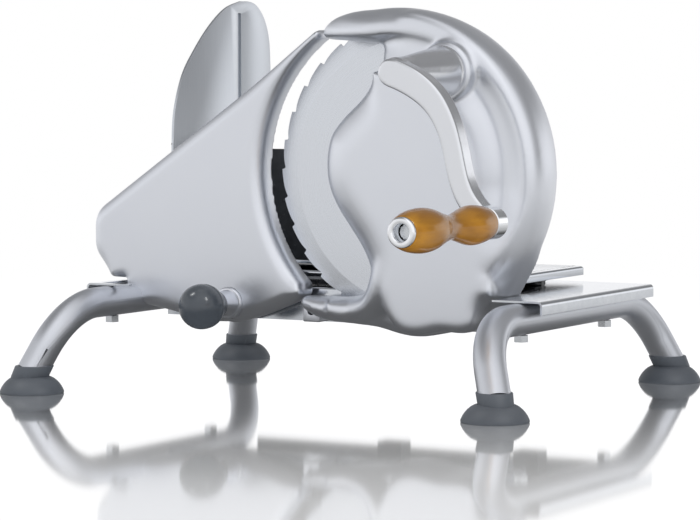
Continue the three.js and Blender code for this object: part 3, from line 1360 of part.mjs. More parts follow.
const head = new THREE.Group();
add(head, 'housing', housing(), castSilver);
add(head, 'gear_cover', gearCover(), brushedAluminium);
coverPosts.forEach(({ x, y }, i) => {
  const screw = screwAlongY(COVER_SCREW_RADIUS, COVER_SCREW_RADIUS * 2, 1.8, coverBackY + 0.05, 10);
  add(head, `gear_cover_screw_${i + 1}`, screw, brushedSteel, [x, 0, y]);
});
footPads.forEach(({ screwX }, i) => {
  const screw = screwAlongY(FRAME_SCREW_RADIUS, FRAME_SCREW_HEAD_RADIUS, FRAME_SCREW_HEAD_HEIGHT, NOTCH_BACK_Y + 0.05, 14);
  add(head, `housing_screw_${i + 1}`, screw, brushedSteel, [screwX, 0, padScrewZ]);
});
const spindleBush = (fromY, toY) => sleeve(SPINDLE_RADIUS + BUSH_WALL, SPINDLE_RADIUS + RUNNING_FIT, fromY, toY);
const bladePlace = [BLADE_AXIS_X, 0, BLADE_AXIS_Z];
add(head, 'spindle_bush_front', spindleBush(faceY + WALL + FIT, gearBackY - GEAR_WIDTH - FIT), bronze, bladePlace);
add(head, 'spindle_bush_rear', spindleBush(gearBackY + FIT, coverBackY), bronze, bladePlace);
add(head, 'crank_bush', crankBush(), bronze, [crankAxis.x, 0, crankAxis.z]);
const idlerPin = bar(IDLER_PIN_RADIUS, faceY + WALL + 4 + FIT, coverBackY);
add(head, 'idler_pin', idlerPin, brushedSteel, [idlerAxis.x, 0, idlerAxis.z]);
slicer.add(head);

const bladeTurn = TRAIN_ANGLE;
const idlerTurn = meshedTurn(IDLER_TEETH, TRAIN_ANGLE + Math.PI, BLADE_GEAR_TEETH, bladeTurn);
const crankTurn = meshedTurn(CRANK_GEAR_TEETH, TRAIN_ANGLE + Math.PI, IDLER_TEETH, idlerTurn);
const gearFrontY = gearBackY - GEAR_WIDTH;

const cutter = new THREE.Group();
cutter.position.set(...bladePlace);
add(cutter, 'blade', blade(), brushedSteel);
add(cutter, 'blade_spindle', bladeSpindle(), gearSteel);
add(cutter, 'blade_gear', gear(BLADE_GEAR_TEETH, SPINDLE_RADIUS + RUNNING_FIT, gearBackY, gearFrontY), gearSteel,
  [0, 0, 0], bladeTurn);
add(cutter, 'blade_cover_disc', coverDisc(), polishedSteel);
for (let i = 0; i < 3; i += 1) {
  const { x, y } = onCircle(BLADE_SCREW_CIRCLE, i / 3);
  add(cutter, `blade_screw_${i + 1}`, bladeScrew(), brushedSteel, [x, 0, y]);
}
slicer.add(cutter);

add(slicer, 'idler_gear', gear(IDLER_TEETH, IDLER_PIN_RADIUS + RUNNING_FIT, gearBackY, gearFrontY), gearSteel,
  [idlerAxis.x, 0, idlerAxis.z], idlerTurn);

const crank = new THREE.Group();
crank.position.set(crankAxis.x, 0, crankAxis.z);
add(crank, 'crank_arm', crankArm(), castSilver);
add(crank, 'crank_shaft', crankShaft(), gearSteel);
add(crank, 'crank_gear', gear(CRANK_GEAR_TEETH, CRANK_SHAFT_RADIUS + RUNNING_FIT, gearBackY, gearFrontY), gearSteel,
  [0, 0, 0], crankTurn);
const grip = new THREE.Group();
grip.position.set(GRIP_OFFSET_X, 0, GRIP_OFFSET_Z);
add(grip, 'grip_pin', gripPin(), polishedSteel);
add(grip, 'grip_wood', gripWood(), amberWood);
add(grip, 'grip_ferrule', gripFerrule(), polishedSteel);
crank.add(grip);
slicer.add(crank);

const gauge = new THREE.Group();
add(gauge, 'gauge_plate', gaugePlate(), castSilver);
const knobPlace = [KNOB_AXIS_X, 0, KNOB_AXIS_Z];
add(gauge, 'knob_bush', knobBush(), castSilver, knobPlace);
add(gauge, 'gauge_knob', knob(), greyPlastic, knobPlace);
add(gauge, 'adjuster_screw', adjuster(), brushedSteel, knobPlace);
rodX.forEach((x, i) => {
  const rod = bar(ROD_RADIUS, gaugeBackY - ROD_DEPTH_IN_PLATE + FIT, gaugeBackY - ROD_DEPTH_IN_PLATE + ROD_LENGTH);
  add(gauge, `guide_rod_${i + 1}`, rod, polishedSteel, [x, 0, KNOB_AXIS_Z]);
});
add(base, 'gauge_guide', gaugeGuide(), brushedAluminium);
guideScrewX.forEach((x, i) => add(base, `guide_screw_${i + 1}`, guideScrew(), brushedSteel, [x, 0, KNOB_AXIS_Z]));
slicer.add(gauge);

const carriage = new THREE.Group();
add(carriage, 'food_table', foodTable(), polishedSteel);
add(carriage, 'table_rail', tableRail(), blackPlastic);
add(carriage, 'pusher_plate', pusherPlate(), brushedAluminium);
rivetY.forEach((y, i) => add(carriage, `table_rivet_${i + 1}`, tableRivet(), brushedSteel, [rivetX, y, 0]));
GUIDE_BLOCK_X.forEach((x, i) => add(base, `guide_block_${i + 1}`, guideBlock(), blackPlastic, [x, RAIL_Y, 0]));
slicer.add(carriage);

const holder = new THREE.Group();
add(holder, 'food_holder', foodHolder(), blackPlastic);
add(holder, 'holder_bolt', holderBolt(), brushedSteel);
add(holder, 'holder_knob', holderKnob(), blackPlastic);
slicer.add(holder);

// The origin is under the middle of the object's box.
const frontEndY = gripFrontY - FIT - 2;
const backEndY = TUBE_CORNER_Y + LEG_OUT_Y + FOOT_RADIUS;
slicer.position.set(0, -(frontEndY + backEndY) / 2, 0);

export default slicer;
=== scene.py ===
"""Looks of the hand crank food slicer, built on its packed frame.

Everything is modelled in millimetres with the feet round the origin. A finished piece is
brought to metres and to the origin of the frame in one step.
"""

import logging
import math
from collections.abc import Callable, Iterable, Sequence
from dataclasses import dataclass, field
from enum import Enum
from typing import ClassVar

import bmesh
import bpy
from mathutils import Matrix, Quaternion, Vector


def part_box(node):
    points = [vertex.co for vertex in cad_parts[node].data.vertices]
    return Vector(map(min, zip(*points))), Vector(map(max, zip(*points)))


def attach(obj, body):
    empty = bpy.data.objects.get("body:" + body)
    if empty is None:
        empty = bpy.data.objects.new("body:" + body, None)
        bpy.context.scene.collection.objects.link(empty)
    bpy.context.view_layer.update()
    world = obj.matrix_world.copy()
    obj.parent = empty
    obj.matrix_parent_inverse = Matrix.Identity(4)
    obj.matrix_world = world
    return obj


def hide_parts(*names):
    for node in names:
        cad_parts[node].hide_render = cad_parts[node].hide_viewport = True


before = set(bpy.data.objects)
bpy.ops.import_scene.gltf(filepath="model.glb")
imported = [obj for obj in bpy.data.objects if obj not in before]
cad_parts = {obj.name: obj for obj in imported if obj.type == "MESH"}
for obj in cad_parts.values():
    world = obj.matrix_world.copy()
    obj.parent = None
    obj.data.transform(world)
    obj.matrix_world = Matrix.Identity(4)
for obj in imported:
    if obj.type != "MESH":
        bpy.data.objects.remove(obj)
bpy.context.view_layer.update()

log = logging.getLogger("slicer")

MM = 0.001
FRAME_SHIFT_Y = 44.2
UP = Vector((0.0, 0.0, 1.0))
WHITE = (1.0, 1.0, 1.0, 1.0)
Outline = list[tuple[float, float]]
Socket = bpy.types.NodeSocket
Sockets = bpy.types.bpy_prop_collection
SOFTBOX_SLOTS = ("amber_wood", "grey_plastic", "grey_rubber", "black_plastic")

# Places shared by several pieces, as (x, z)
BLADE_AXIS = (52.8, 138.2)
CRANK_AXIS = (95.0644, 200.1573)
IDLER_AXIS = (77.3134, 174.1353)
GRIP_AXIS = (156.9644, 114.2573)
KNOB_AXIS = (-71.0, 53.4)
GUARD_RADIUS = 101.0


# Outlines in the XZ plane


def polar(centre: tuple[float, float], radius: float, degrees: float) -> tuple[float, float]:
    """Returns the point at an angle and radius round a centre."""
    angle = math.radians(degrees)
    return (centre[0] + radius * math.cos(angle), centre[1] + radius * math.sin(angle))


def on_blade(radius: float, degrees: float) -> tuple[float, float]:
    """Returns a point round the blade axis."""
    return polar(BLADE_AXIS, radius, degrees)


def on_axis(axis: tuple[float, float]) -> Vector:
    """Returns the point of an axis along Y that lies at Y zero."""
    return Vector((axis[0], 0, axis[1]))


def arc(centre: tuple[float, float], radius: float, start: float, end: float, steps: int) -> Outline:
    """Returns points on an arc, both ends included; the angles are in degrees."""
    return [polar(centre, radius, start + (end - start) * i / steps) for i in range(steps + 1)]


def spline(corners: Sequence[tuple[float, ...]], steps: int) -> list[tuple[float, ...]]:
    """Returns a smooth curve through points of any number of coordinates.

    Args:
        corners: The points that the curve passes through.
        steps: Number of points between each two corners.

    Returns:
        The points of the curve, both ends included.
    """
    made: list[tuple[float, ...]] = []
    last = len(corners) - 1
    for i in range(last):
        a, b, c, d = (corners[min(max(k, 0), last)] for k in (i - 1, i, i + 1, i + 2))
        for step in range(steps):
            t = step / steps
            made.append(tuple(
                0.5 * (2 * q + (r - p) * t + (2 * p - 5 * q + 4 * r - s) * t**2
                       + (3 * q - p - 3 * r + s) * t**3)
                for p, q, r, s in zip(a, b, c, d, strict=True)
            ))
    made.append(tuple(corners[-1]))
    return made


def rounded(corners: Sequence[tuple[float, float, float]], steps: int = 8, closed: bool = True) -> Outline:
    """Returns an outline whose corners (x, z, radius) are rounded.

    Args:
        corners: The corners with their radii.
        steps: Number of edges in each rounded corner.
        closed: Whether the last corner meets the first one.

    Returns:
        The points of the outline.
    """
    made: Outline = []
    count = len(corners)
    for i, (x, z, radius) in enumerate(corners):
        if radius <= 0 or (not closed and i in (0, count - 1)):
            made.append((x, z))
            continue
        corner = Vector((x, z))
        back = (Vector(corners[i - 1][:2]) - corner).normalized()
        ahead = (Vector(corners[(i + 1) % count][:2]) - corner).normalized()
        half = math.acos(max(-1.0, min(1.0, back.dot(ahead)))) / 2
        centre = corner + (back + ahead).normalized() * radius / math.sin(half)
        start = corner + back * radius / math.tan(half) - centre
        end = corner + ahead * radius / math.tan(half) - centre
        sweep = math.remainder(math.atan2(end.y, end.x) - math.atan2(start.y, start.x), 2 * math.pi)
        first = math.atan2(start.y, start.x)
        for step in range(steps + 1):
            angle = first + sweep * step / steps
            made.append((centre.x + radius * math.cos(angle), centre.y + radius * math.sin(angle)))
    return made


def thinned(outline: Outline, spacing: float) -> Outline:
    """Returns the outline without points that lie closer together than the spacing."""
    made = [outline[0]]
    for place in outline[1:]:
        if math.dist(place, made[-1]) >= spacing:
            made.append(place)
    if math.dist(made[0], made[-1]) < spacing:
        made.pop()
    return made


def resampled(outline: Outline, spacing: float) -> Outline:
    """Returns the closed outline with long edges divided at about the spacing."""
    made: Outline = []
    for (ax, az), (bx, bz) in zip(outline, outline[1:] + outline[:1], strict=True):
        parts = max(1, round(math.hypot(bx - ax, bz - az) / spacing))
        made += [(ax + (bx - ax) * k / parts, az + (bz - az) * k / parts) for k in range(parts)]
    return made


def heading(path: Sequence[tuple[float, ...]], i: int) -> Vector:
    """Returns the flat direction in which a path runs at one of its points."""
    a, b = path[max(i - 1, 0)], path[min(i + 1, len(path) - 1)]
    return Vector((b[0] - a[0], b[1] - a[1])).normalized()


def smooth_step(value: float, low: float = 0.0, high: float = 1.0) -> float:
    """Returns a soft step from 0 at the low value to 1 at the high one."""
    share = max(0.0, min(1.0, (value - low) / (high - low)))
    return share * share * (3 - 2 * share)


# A roll stays narrower than this share of the way to the far side of its plate, and its width is evened out
ROLL_LIMIT = 0.46
ROLL_PASSES = 6
SHARPEST_CORNER = 0.7


def rolled_rings(
    outline: Outline,
    back: float,
    front: float,
    radius: float,
    depth: float,
    steps: int,
    reach: Callable[[Vector], float] | None = None,
) -> list[list[Vector]]:
    """Returns the rings of a plate whose front edge is rolled over.

    Args:
        outline: Outline of the plate, in either direction.
        back: Level of its flat back along Y.
        front: Level of its flat front along Y.
        radius: How far the roll reaches in from the outline.
        depth: How far the roll reaches back from the front.
        steps: Number of rings in the roll.
        reach: Share of the radius and of the depth at a point of the outline.

    Returns:
        One ring of points for each level, from the back to the front.
    """
    count = len(outline)
    area = sum(a[0] * b[1] - b[0] * a[1] for a, b in zip(outline, outline[1:] + outline[:1], strict=True))
    points = [Vector(p) for p in (outline if area > 0 else outline[::-1])]

    def normal(a: Vector, b: Vector) -> Vector:
        """Returns the inward normal of one edge."""
        return Vector((a.y - b.y, b.x - a.x)).normalized()

    inward: list[Vector] = []
    for i, here in enumerate(points):
        before, after = normal(points[i - 1], here), normal(here, points[(i + 1) % count])
        mean = (before + after).normalized()
        inward.append(mean / max(SHARPEST_CORNER, mean.dot(after)))
    room = []
    for here, way in zip(points, inward, strict=True):
        free = radius * (reach(here) if reach else 1.0)
        for other in points:
            gap = other - here
            along = gap.dot(way)
            if along > 1e-6:
                free = min(free, ROLL_LIMIT * gap.length_squared / along)
        room.append(free)
    for _ in range(ROLL_PASSES):
        room = [min(room[i], (room[i - 1] + room[i] + room[(i + 1) % count]) / 3) for i in range(count)]
    rings = [[Vector((p.x, back, p.y)) for p in points]]
    for step in range(steps + 1):
        angle = step / steps * math.pi / 2
        ring = []
        for here, way, free in zip(points, inward, room, strict=True):
            place = here + way * free * (1 - math.cos(angle))
            drop = depth * (1 - math.sin(angle))
            if reach:
                drop = drop * free / radius
            ring.append(Vector((place.x, front + drop, place.y)))
        rings.append(ring)
    return rings


# Modelling


class Axis(Enum):
    """Direction that a turned piece or a brushed grain follows."""

    X = 0
    Y = 1
    Z = 2

    def vector(self) -> Vector:
        """Returns the unit vector of the axis."""
        return Vector([1.0 if i == self.value else 0.0 for i in range(3)])


class Workpiece:
    """One mesh that is being shaped in millimetres."""

    def __init__(self, obj: bpy.types.Object) -> None:
        """Keeps the object that is being shaped."""
        self.obj = obj

    @staticmethod
    def clear() -> None:
        """Deselects every object."""
        if bpy.context.object and bpy.context.object.mode != "OBJECT":
            bpy.ops.object.mode_set(mode="OBJECT")
        bpy.ops.object.select_all(action="DESELECT")

    @classmethod
    def ring(cls, name: str, points: Sequence[Vector], filled: bool = True) -> "Workpiece":
        """Starts a piece from a circle whose corners are put on the given points."""
        cls.clear()
        fill = "NGON" if filled else "NOTHING"
        bpy.ops.mesh.primitive_circle_add(vertices=len(points), radius=1.0, fill_type=fill)
        obj = bpy.context.object
        obj.name = name
        for vertex, place in zip(obj.data.vertices, points, strict=True):
            vertex.co = place
        return cls(obj)

    @classmethod
    def loft(cls, name: str, rings: Sequence[Sequence[Vector]], filled: bool = True) -> "Workpiece":
        """Makes a piece by extruding a ring from one set of points to the next.

        Args:
            name: Name of the piece.
            rings: Rings of equal length.
            filled: Whether the first and the last ring are closed by a face.

        Returns:
            The new piece, with its normals pointing out.
        """
        work = cls.ring(name, rings[0], filled)
        bpy.ops.object.mode_set(mode="EDIT")
        bpy.ops.mesh.select_all(action="SELECT")
        for ring in rings[1:]:
            bpy.ops.mesh.extrude_region_move()
            shell = bmesh.from_edit_mesh(work.obj.data)
            moved = [v for v in shell.verts if v.select]
            for vertex, place in zip(moved, ring, strict=True):
                vertex.co = place
            bmesh.update_edit_mesh(work.obj.data)
        work.face_out()
        bpy.ops.object.mode_set(mode="OBJECT")
        return work

    def face_out(self) -> None:
        """Turns the faces of the closed shell that is in edit mode outwards."""
        bpy.ops.mesh.select_all(action="SELECT")
        bpy.ops.mesh.normals_make_consistent(inside=False)
        if bmesh.from_edit_mesh(self.obj.data).calc_volume(signed=True) < 0:
            bpy.ops.mesh.flip_normals()

    @classmethod
    def turned(
        cls,
        name: str,
        profile: Sequence[tuple[float, float]],
        place: Vector,
        axis: Axis = Axis.Y,
        steps: int = 64,
        closed: bool = False,
    ) -> "Workpiece":
        """Spins a profile of (radius, level) round an axis.

        Args:
            name: Name of the piece.
            profile: Points of the profile; levels are counted from the place along the axis.
            place: Point on the axis.
            axis: Direction of the axis.
            steps: Number of steps in a full turn.
            closed: Whether the last point joins the first one, as on a sleeve.

        Returns:
            The new piece.
        """
        way = axis.vector()
        across = Axis((axis.value + 1) % 3).vector()
        points = [place + across * radius + way * level for radius, level in profile]
        work = cls.ring(name, points, filled=False)
        bpy.ops.object.mode_set(mode="EDIT")
        if not closed:
            shell = bmesh.from_edit_mesh(work.obj.data)
            shell.verts.ensure_lookup_table()
            bpy.ops.mesh.select_all(action="DESELECT")
            last = len(points) - 1
            for edge in shell.edges:
                edge.select = {v.index for v in edge.verts} == {0, last}
            bpy.ops.mesh.delete(type="EDGE")
        bpy.ops.mesh.select_all(action="SELECT")
        bpy.ops.mesh.spin(steps=steps, angle=2 * math.pi, center=place, axis=way)
        bpy.ops.mesh.select_all(action="SELECT")
        bpy.ops.mesh.remove_doubles(threshold=0.001)
        work.face_out()
        bpy.ops.object.mode_set(mode="OBJECT")
        return work

    @classmethod
    def prism(
        cls, name: str, outline: Sequence[tuple[float, float]], levels: Sequence[float], axis: Axis = Axis.Y
    ) -> "Workpiece":
        """Extrudes an outline from one level to another along X or Y."""
        if axis is Axis.X:
            return cls.loft(name, [[Vector((level, a, b)) for a, b in outline] for level in levels])
        return cls.loft(name, [[Vector((a, level, b)) for a, b in outline] for level in levels])

    @classmethod
    def swept(cls, name: str, path: Sequence[Vector], radius: float, sides: int = 40) -> "Workpiece":
        """Makes a round bar along a path.

        Args:
            name: Name of the piece.
            path: Points of the path.
            radius: Radius of the bar.
            sides: Number of sides.

        Returns:
            The new piece, closed at both ends.
        """
        rings = []
        for i, centre in enumerate(path):
            along = (path[min(i + 1, len(path) - 1)] - path[max(i - 1, 0)]).normalized()
            across = along.cross(UP).normalized()
            over = across.cross(along)
            angles = [2 * math.pi * k / sides for k in range(sides)]
            rings.append([centre + (across * math.cos(a) + over * math.sin(a)) * radius for a in angles])
        return cls.loft(name, rings)

    @classmethod
    def block(cls, name: str, low: Sequence[float], high: Sequence[float]) -> "Workpiece":
        """Makes a box between two corners, to be shaped further."""
        cls.clear()
        size = [b - a for a, b in zip(low, high, strict=True)]
        middle = [(a + b) / 2 for a, b in zip(low, high, strict=True)]
        bpy.ops.mesh.primitive_cube_add(size=1.0, location=middle, scale=size)
        obj = bpy.context.object
        obj.name = name
        bpy.ops.object.transform_apply(location=True, rotation=True, scale=True)
        return cls(obj)

    def only(self) -> None:
        """Makes this the only selected and active object."""
        self.clear()
        self.obj.select_set(True)
        bpy.context.view_layer.objects.active = self.obj

    def modify(self, kind: str, **settings: object) -> "Workpiece":
        """Adds a modifier with its settings and applies it."""
        self.only()
        bpy.ops.object.modifier_add(type=kind)
        modifier = self.obj.modifiers[-1]
        for key, value in settings.items():
            setattr(modifier, key, value)
        bpy.ops.object.modifier_apply(modifier=modifier.name)
        return self

    def _boolean(self, tools: Iterable["Workpiece"], operation: str) -> "Workpiece":
        """Joins, cuts or meets this piece with others, which are used up."""
        for tool in tools:
            self.modify("BOOLEAN", operation=operation, object=tool.obj, solver="MANIFOLD")
            bpy.data.objects.remove(tool.obj)
        return self

    def cut(self, *tools: "Workpiece") -> "Workpiece":
        """Cuts other pieces away."""
        return self._boolean(tools, "DIFFERENCE")

    def weld(self, *tools: "Workpiece") -> "Workpiece":
        """Adds other pieces, with their shared inside removed."""
        return self._boolean(tools, "UNION")

    def join(self, *others: "Workpiece") -> "Workpiece":
        """Adds other pieces as they are."""
        self.clear()
        for other in others:
            other.obj.select_set(True)
        self.obj.select_set(True)
        bpy.context.view_layer.objects.active = self.obj
        bpy.ops.object.join()
        return self

    def drill(
        self, radius: float, start: float, end: float, place: Vector, axis: Axis = Axis.Y, steps: int = 64
    ) -> "Workpiece":
        """Cuts a round hole between two levels along an axis."""
        profile = [(0, start), (radius, start), (radius, end), (0, end)]
        return self.cut(Workpiece.turned("hole", profile, place, axis, steps))

    def bevel(self, width: float, segments: int, test: Callable[[bmesh.types.BMEdge], bool]) -> "Workpiece":
        """Bevels the edges that pass a test."""
        self.only()
        bpy.ops.object.mode_set(mode="EDIT")
        bpy.ops.mesh.select_mode(type="EDGE")
        bpy.ops.mesh.select_all(action="DESELECT")
        shell = bmesh.from_edit_mesh(self.obj.data)
        for edge in shell.edges:
            edge.select_set(test(edge))
        bmesh.update_edit_mesh(self.obj.data)
        bpy.ops.mesh.bevel(offset=width, segments=segments, affect="EDGES", clamp_overlap=True)
        bpy.ops.object.mode_set(mode="OBJECT")
        return self

    def round_along(self, axis: Axis, longer: float, width: float, segments: int) -> "Workpiece":
        """Rounds the edges that run along an axis and are longer than a length."""
        return self.bevel(
            width, segments, lambda edge: abs((edge.verts[0].co - edge.verts[1].co)[axis.value]) > longer
        )

    def soften(self, width: float, segments: int = 3, degrees: float = 35.0) -> "Workpiece":
        """Rounds every edge that is sharper than an angle."""
        return self.modify(
            "BEVEL", width=width, segments=segments, limit_method="ANGLE", angle_limit=math.radians(degrees),
            use_clamp_overlap=True, miter_outer="MITER_ARC",
        )

    def melt(self, voxel: float, passes: int, weight: Callable[[Vector], float] | None = None) -> "Workpiece":
        """Fuses overlapping shells into one skin and smooths where they meet.

        Args:
            voxel: Size of the new faces.
            passes: Number of smoothing passes.
            weight: Share of the smoothing at a place, if it isn't the same all over.

        Returns:
            This piece.
        """
        self.modify("REMESH", mode="VOXEL", voxel_size=voxel, use_smooth_shade=True)
        settings: dict[str, object] = {"factor": 0.5, "iterations": passes}
        if weight:
            group = self.obj.vertex_groups.new(name="melt")
            for vertex in self.obj.data.vertices:
                group.add([vertex.index], weight(vertex.co), "REPLACE")
            settings["vertex_group"] = group.name
        self.modify("SMOOTH", **settings)
        self.obj.vertex_groups.clear()
        return self

    def copied(self, name: str) -> "Workpiece":
        """Returns a copy with a mesh of its own."""
        twin = self.obj.copy()
        twin.data = self.obj.data.copy()
        twin.name = name
        bpy.context.collection.objects.link(twin)
        return Workpiece(twin)

    def moved(self, change: Matrix) -> "Workpiece":
        """Moves the mesh and leaves the object at the origin."""
        self.obj.data.transform(change)
        return self

    def finish(
        self,
        body: str,
        material: bpy.types.Material,
        slot: str,
        nodes: Sequence[str] = (),
        sharp: float = 40.0,
    ) -> bpy.types.Object:
        """Brings the piece to metres and to its place, and says what it is.

        Args:
            body: CAD body that it rides on.
            material: Its material.
            slot: The record's material slot of its finish.
            nodes: CAD nodes that it stands for.
            sharp: Angle above which an edge stays sharp, in degrees.

        Returns:
            The finished object.
        """
        self.only()
        self.obj.data.transform(Matrix.Scale(MM, 4) @ Matrix.Translation((0.0, FRAME_SHIFT_Y, 0.0)))
        bpy.ops.object.shade_smooth_by_angle(angle=math.radians(sharp))
        self.obj.data.materials.clear()
        self.obj.data.materials.append(material)
        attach(self.obj, body)
        if slot in SOFTBOX_SLOTS:
            Studio.varnished().objects.link(self.obj)
        if nodes:
            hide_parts(*nodes)
        log.info("%s: %d faces on %s", self.obj.name, len(self.obj.data.polygons), body)
        return self.obj


# Materials


class Board:
    """Short way to place and link the nodes of one tree."""

    def __init__(self, tree: bpy.types.NodeTree) -> None:
        """Clears the tree."""
        self.tree = tree
        tree.nodes.clear()

    def node(
        self, kind: str, inputs: dict[str | int, object] | None = None, **settings: object
    ) -> bpy.types.Node:
        """Adds a node; an input value that is a socket is linked."""
        made = self.tree.nodes.new(kind)
        for key, value in settings.items():
            setattr(made, key, value)
        for key, value in (inputs or {}).items():
            if isinstance(value, Socket):
                self.tree.links.new(value, made.inputs[key])
            else:
                made.inputs[key].default_value = value
        return made

    def math(self, operation: str, a: object, b: object = 0.0, clamp: bool = False) -> Socket:
        """Returns the result of a sum or other operation on two values."""
        return self.node("ShaderNodeMath", {0: a, 1: b}, operation=operation, use_clamp=clamp).outputs[0]

    def ramp(
        self, factor: object, stops: Sequence[tuple[float, float]], blue: float = 1.0
    ) -> Socket:
        """Returns a grey from a ramp of (place, brightness) stops, with its blue part scaled."""
        made = self.node("ShaderNodeValToRGB", {0: factor})
        elements = made.color_ramp.elements
        while len(elements) < len(stops):
            elements.new(0.5)
        for element, (place, grey) in zip(elements, stops, strict=True):
            element.position = place
            element.color = (grey, grey, grey * blue, 1.0)
        return made.outputs[0]

    def spread(self, value: object, low: object, high: object) -> Socket:
        """Returns a value from 0 to 1 spread over a range."""
        return self.node("ShaderNodeMapRange", {"Value": value, "To Min": low, "To Max": high}).outputs[0]

    def between(self, value: object, start: float, end: float) -> Socket:
        """Returns how far a value is from one place to another, from 0 to 1."""
        inputs = {"Value": value, "From Min": start, "From Max": end}
        return self.node("ShaderNodeMapRange", inputs).outputs[0]

    def parts(self, vector: object) -> tuple[Socket, ...]:
        """Returns the three numbers of a vector."""
        return tuple(self.node("ShaderNodeSeparateXYZ", {0: vector}).outputs)

    def length(self, a: object, b: object) -> Socket:
        """Returns the length of a flat vector."""
        squares = self.math("ADD", self.math("MULTIPLY", a, a), self.math("MULTIPLY", b, b))
        return self.math("SQRT", squares)

    def mapping(self, vector: object, **change: Sequence[float]) -> Socket:
        """Returns a vector that is moved or stretched."""
        return self.node("ShaderNodeMapping", {"Vector": vector, **change}).outputs[0]

    def group(self, tree: bpy.types.NodeTree, **inputs: object) -> Sockets:
        """Places a shared group and returns its outputs."""
        return self.node("ShaderNodeGroup", inputs, node_tree=tree).outputs

    def light(self, kind: str, strength: object, tint: object = WHITE) -> Socket:
        """Returns an Emission or Background shader."""
        return self.node(f"ShaderNode{kind}", {"Color": tint, "Strength": strength}).outputs[0]

    def blend(self, factor: object, a: object, b: object) -> Socket:
        """Returns a mix of two shaders."""
        return self.node("ShaderNodeMixShader", {0: factor, 1: a, 2: b}).outputs[0]

    def noise(self, vector: object, scale: object, detail: float, **more: float) -> Socket:
        """Returns the value of a noise texture."""
        inputs = {"Vector": vector, "Scale": scale, "Detail": detail, **more}
        return self.node("ShaderNodeTexNoise", inputs).outputs[0]

    def bump(self, strength: object, distance: float, height: object) -> Socket:
        """Returns a normal that follows a height."""
        inputs = {"Strength": strength, "Distance": distance, "Height": height}
        return self.node("ShaderNodeBump", inputs).outputs[0]

    def step(self, value: object, start: float, end: float, low: float, high: float) -> Socket:
        """Returns a soft change from a low to a high value between two places."""
        inputs = {"Value": value, "From Min": start, "From Max": end, "To Min": low, "To Max": high}
        return self.node("ShaderNodeMapRange", inputs, interpolation_type="SMOOTHSTEP").outputs[0]

    def mix(self, factor: object, a: object, b: object) -> Socket:
        """Returns a mix of two colours."""
        made = self.node("ShaderNodeMix", data_type="RGBA")
        sockets = (made.inputs[0], made.inputs[6], made.inputs[7])
        for socket, value in zip(sockets, (factor, a, b), strict=True):
            if isinstance(value, Socket):
                self.tree.links.new(value, socket)
            else:
                socket.default_value = value
        return made.outputs[2]


def colour(code: int) -> tuple[float, float, float, float]:
    """Returns the linear colour of a hexadecimal screen colour."""
    parts = [((code >> shift) & 255) / 255 for shift in (16, 8, 0)]
    linear = [p / 12.92 if p <= 0.04045 else ((p + 0.055) / 1.055) ** 2.4 for p in parts]
    return (linear[0], linear[1], linear[2], 1.0)


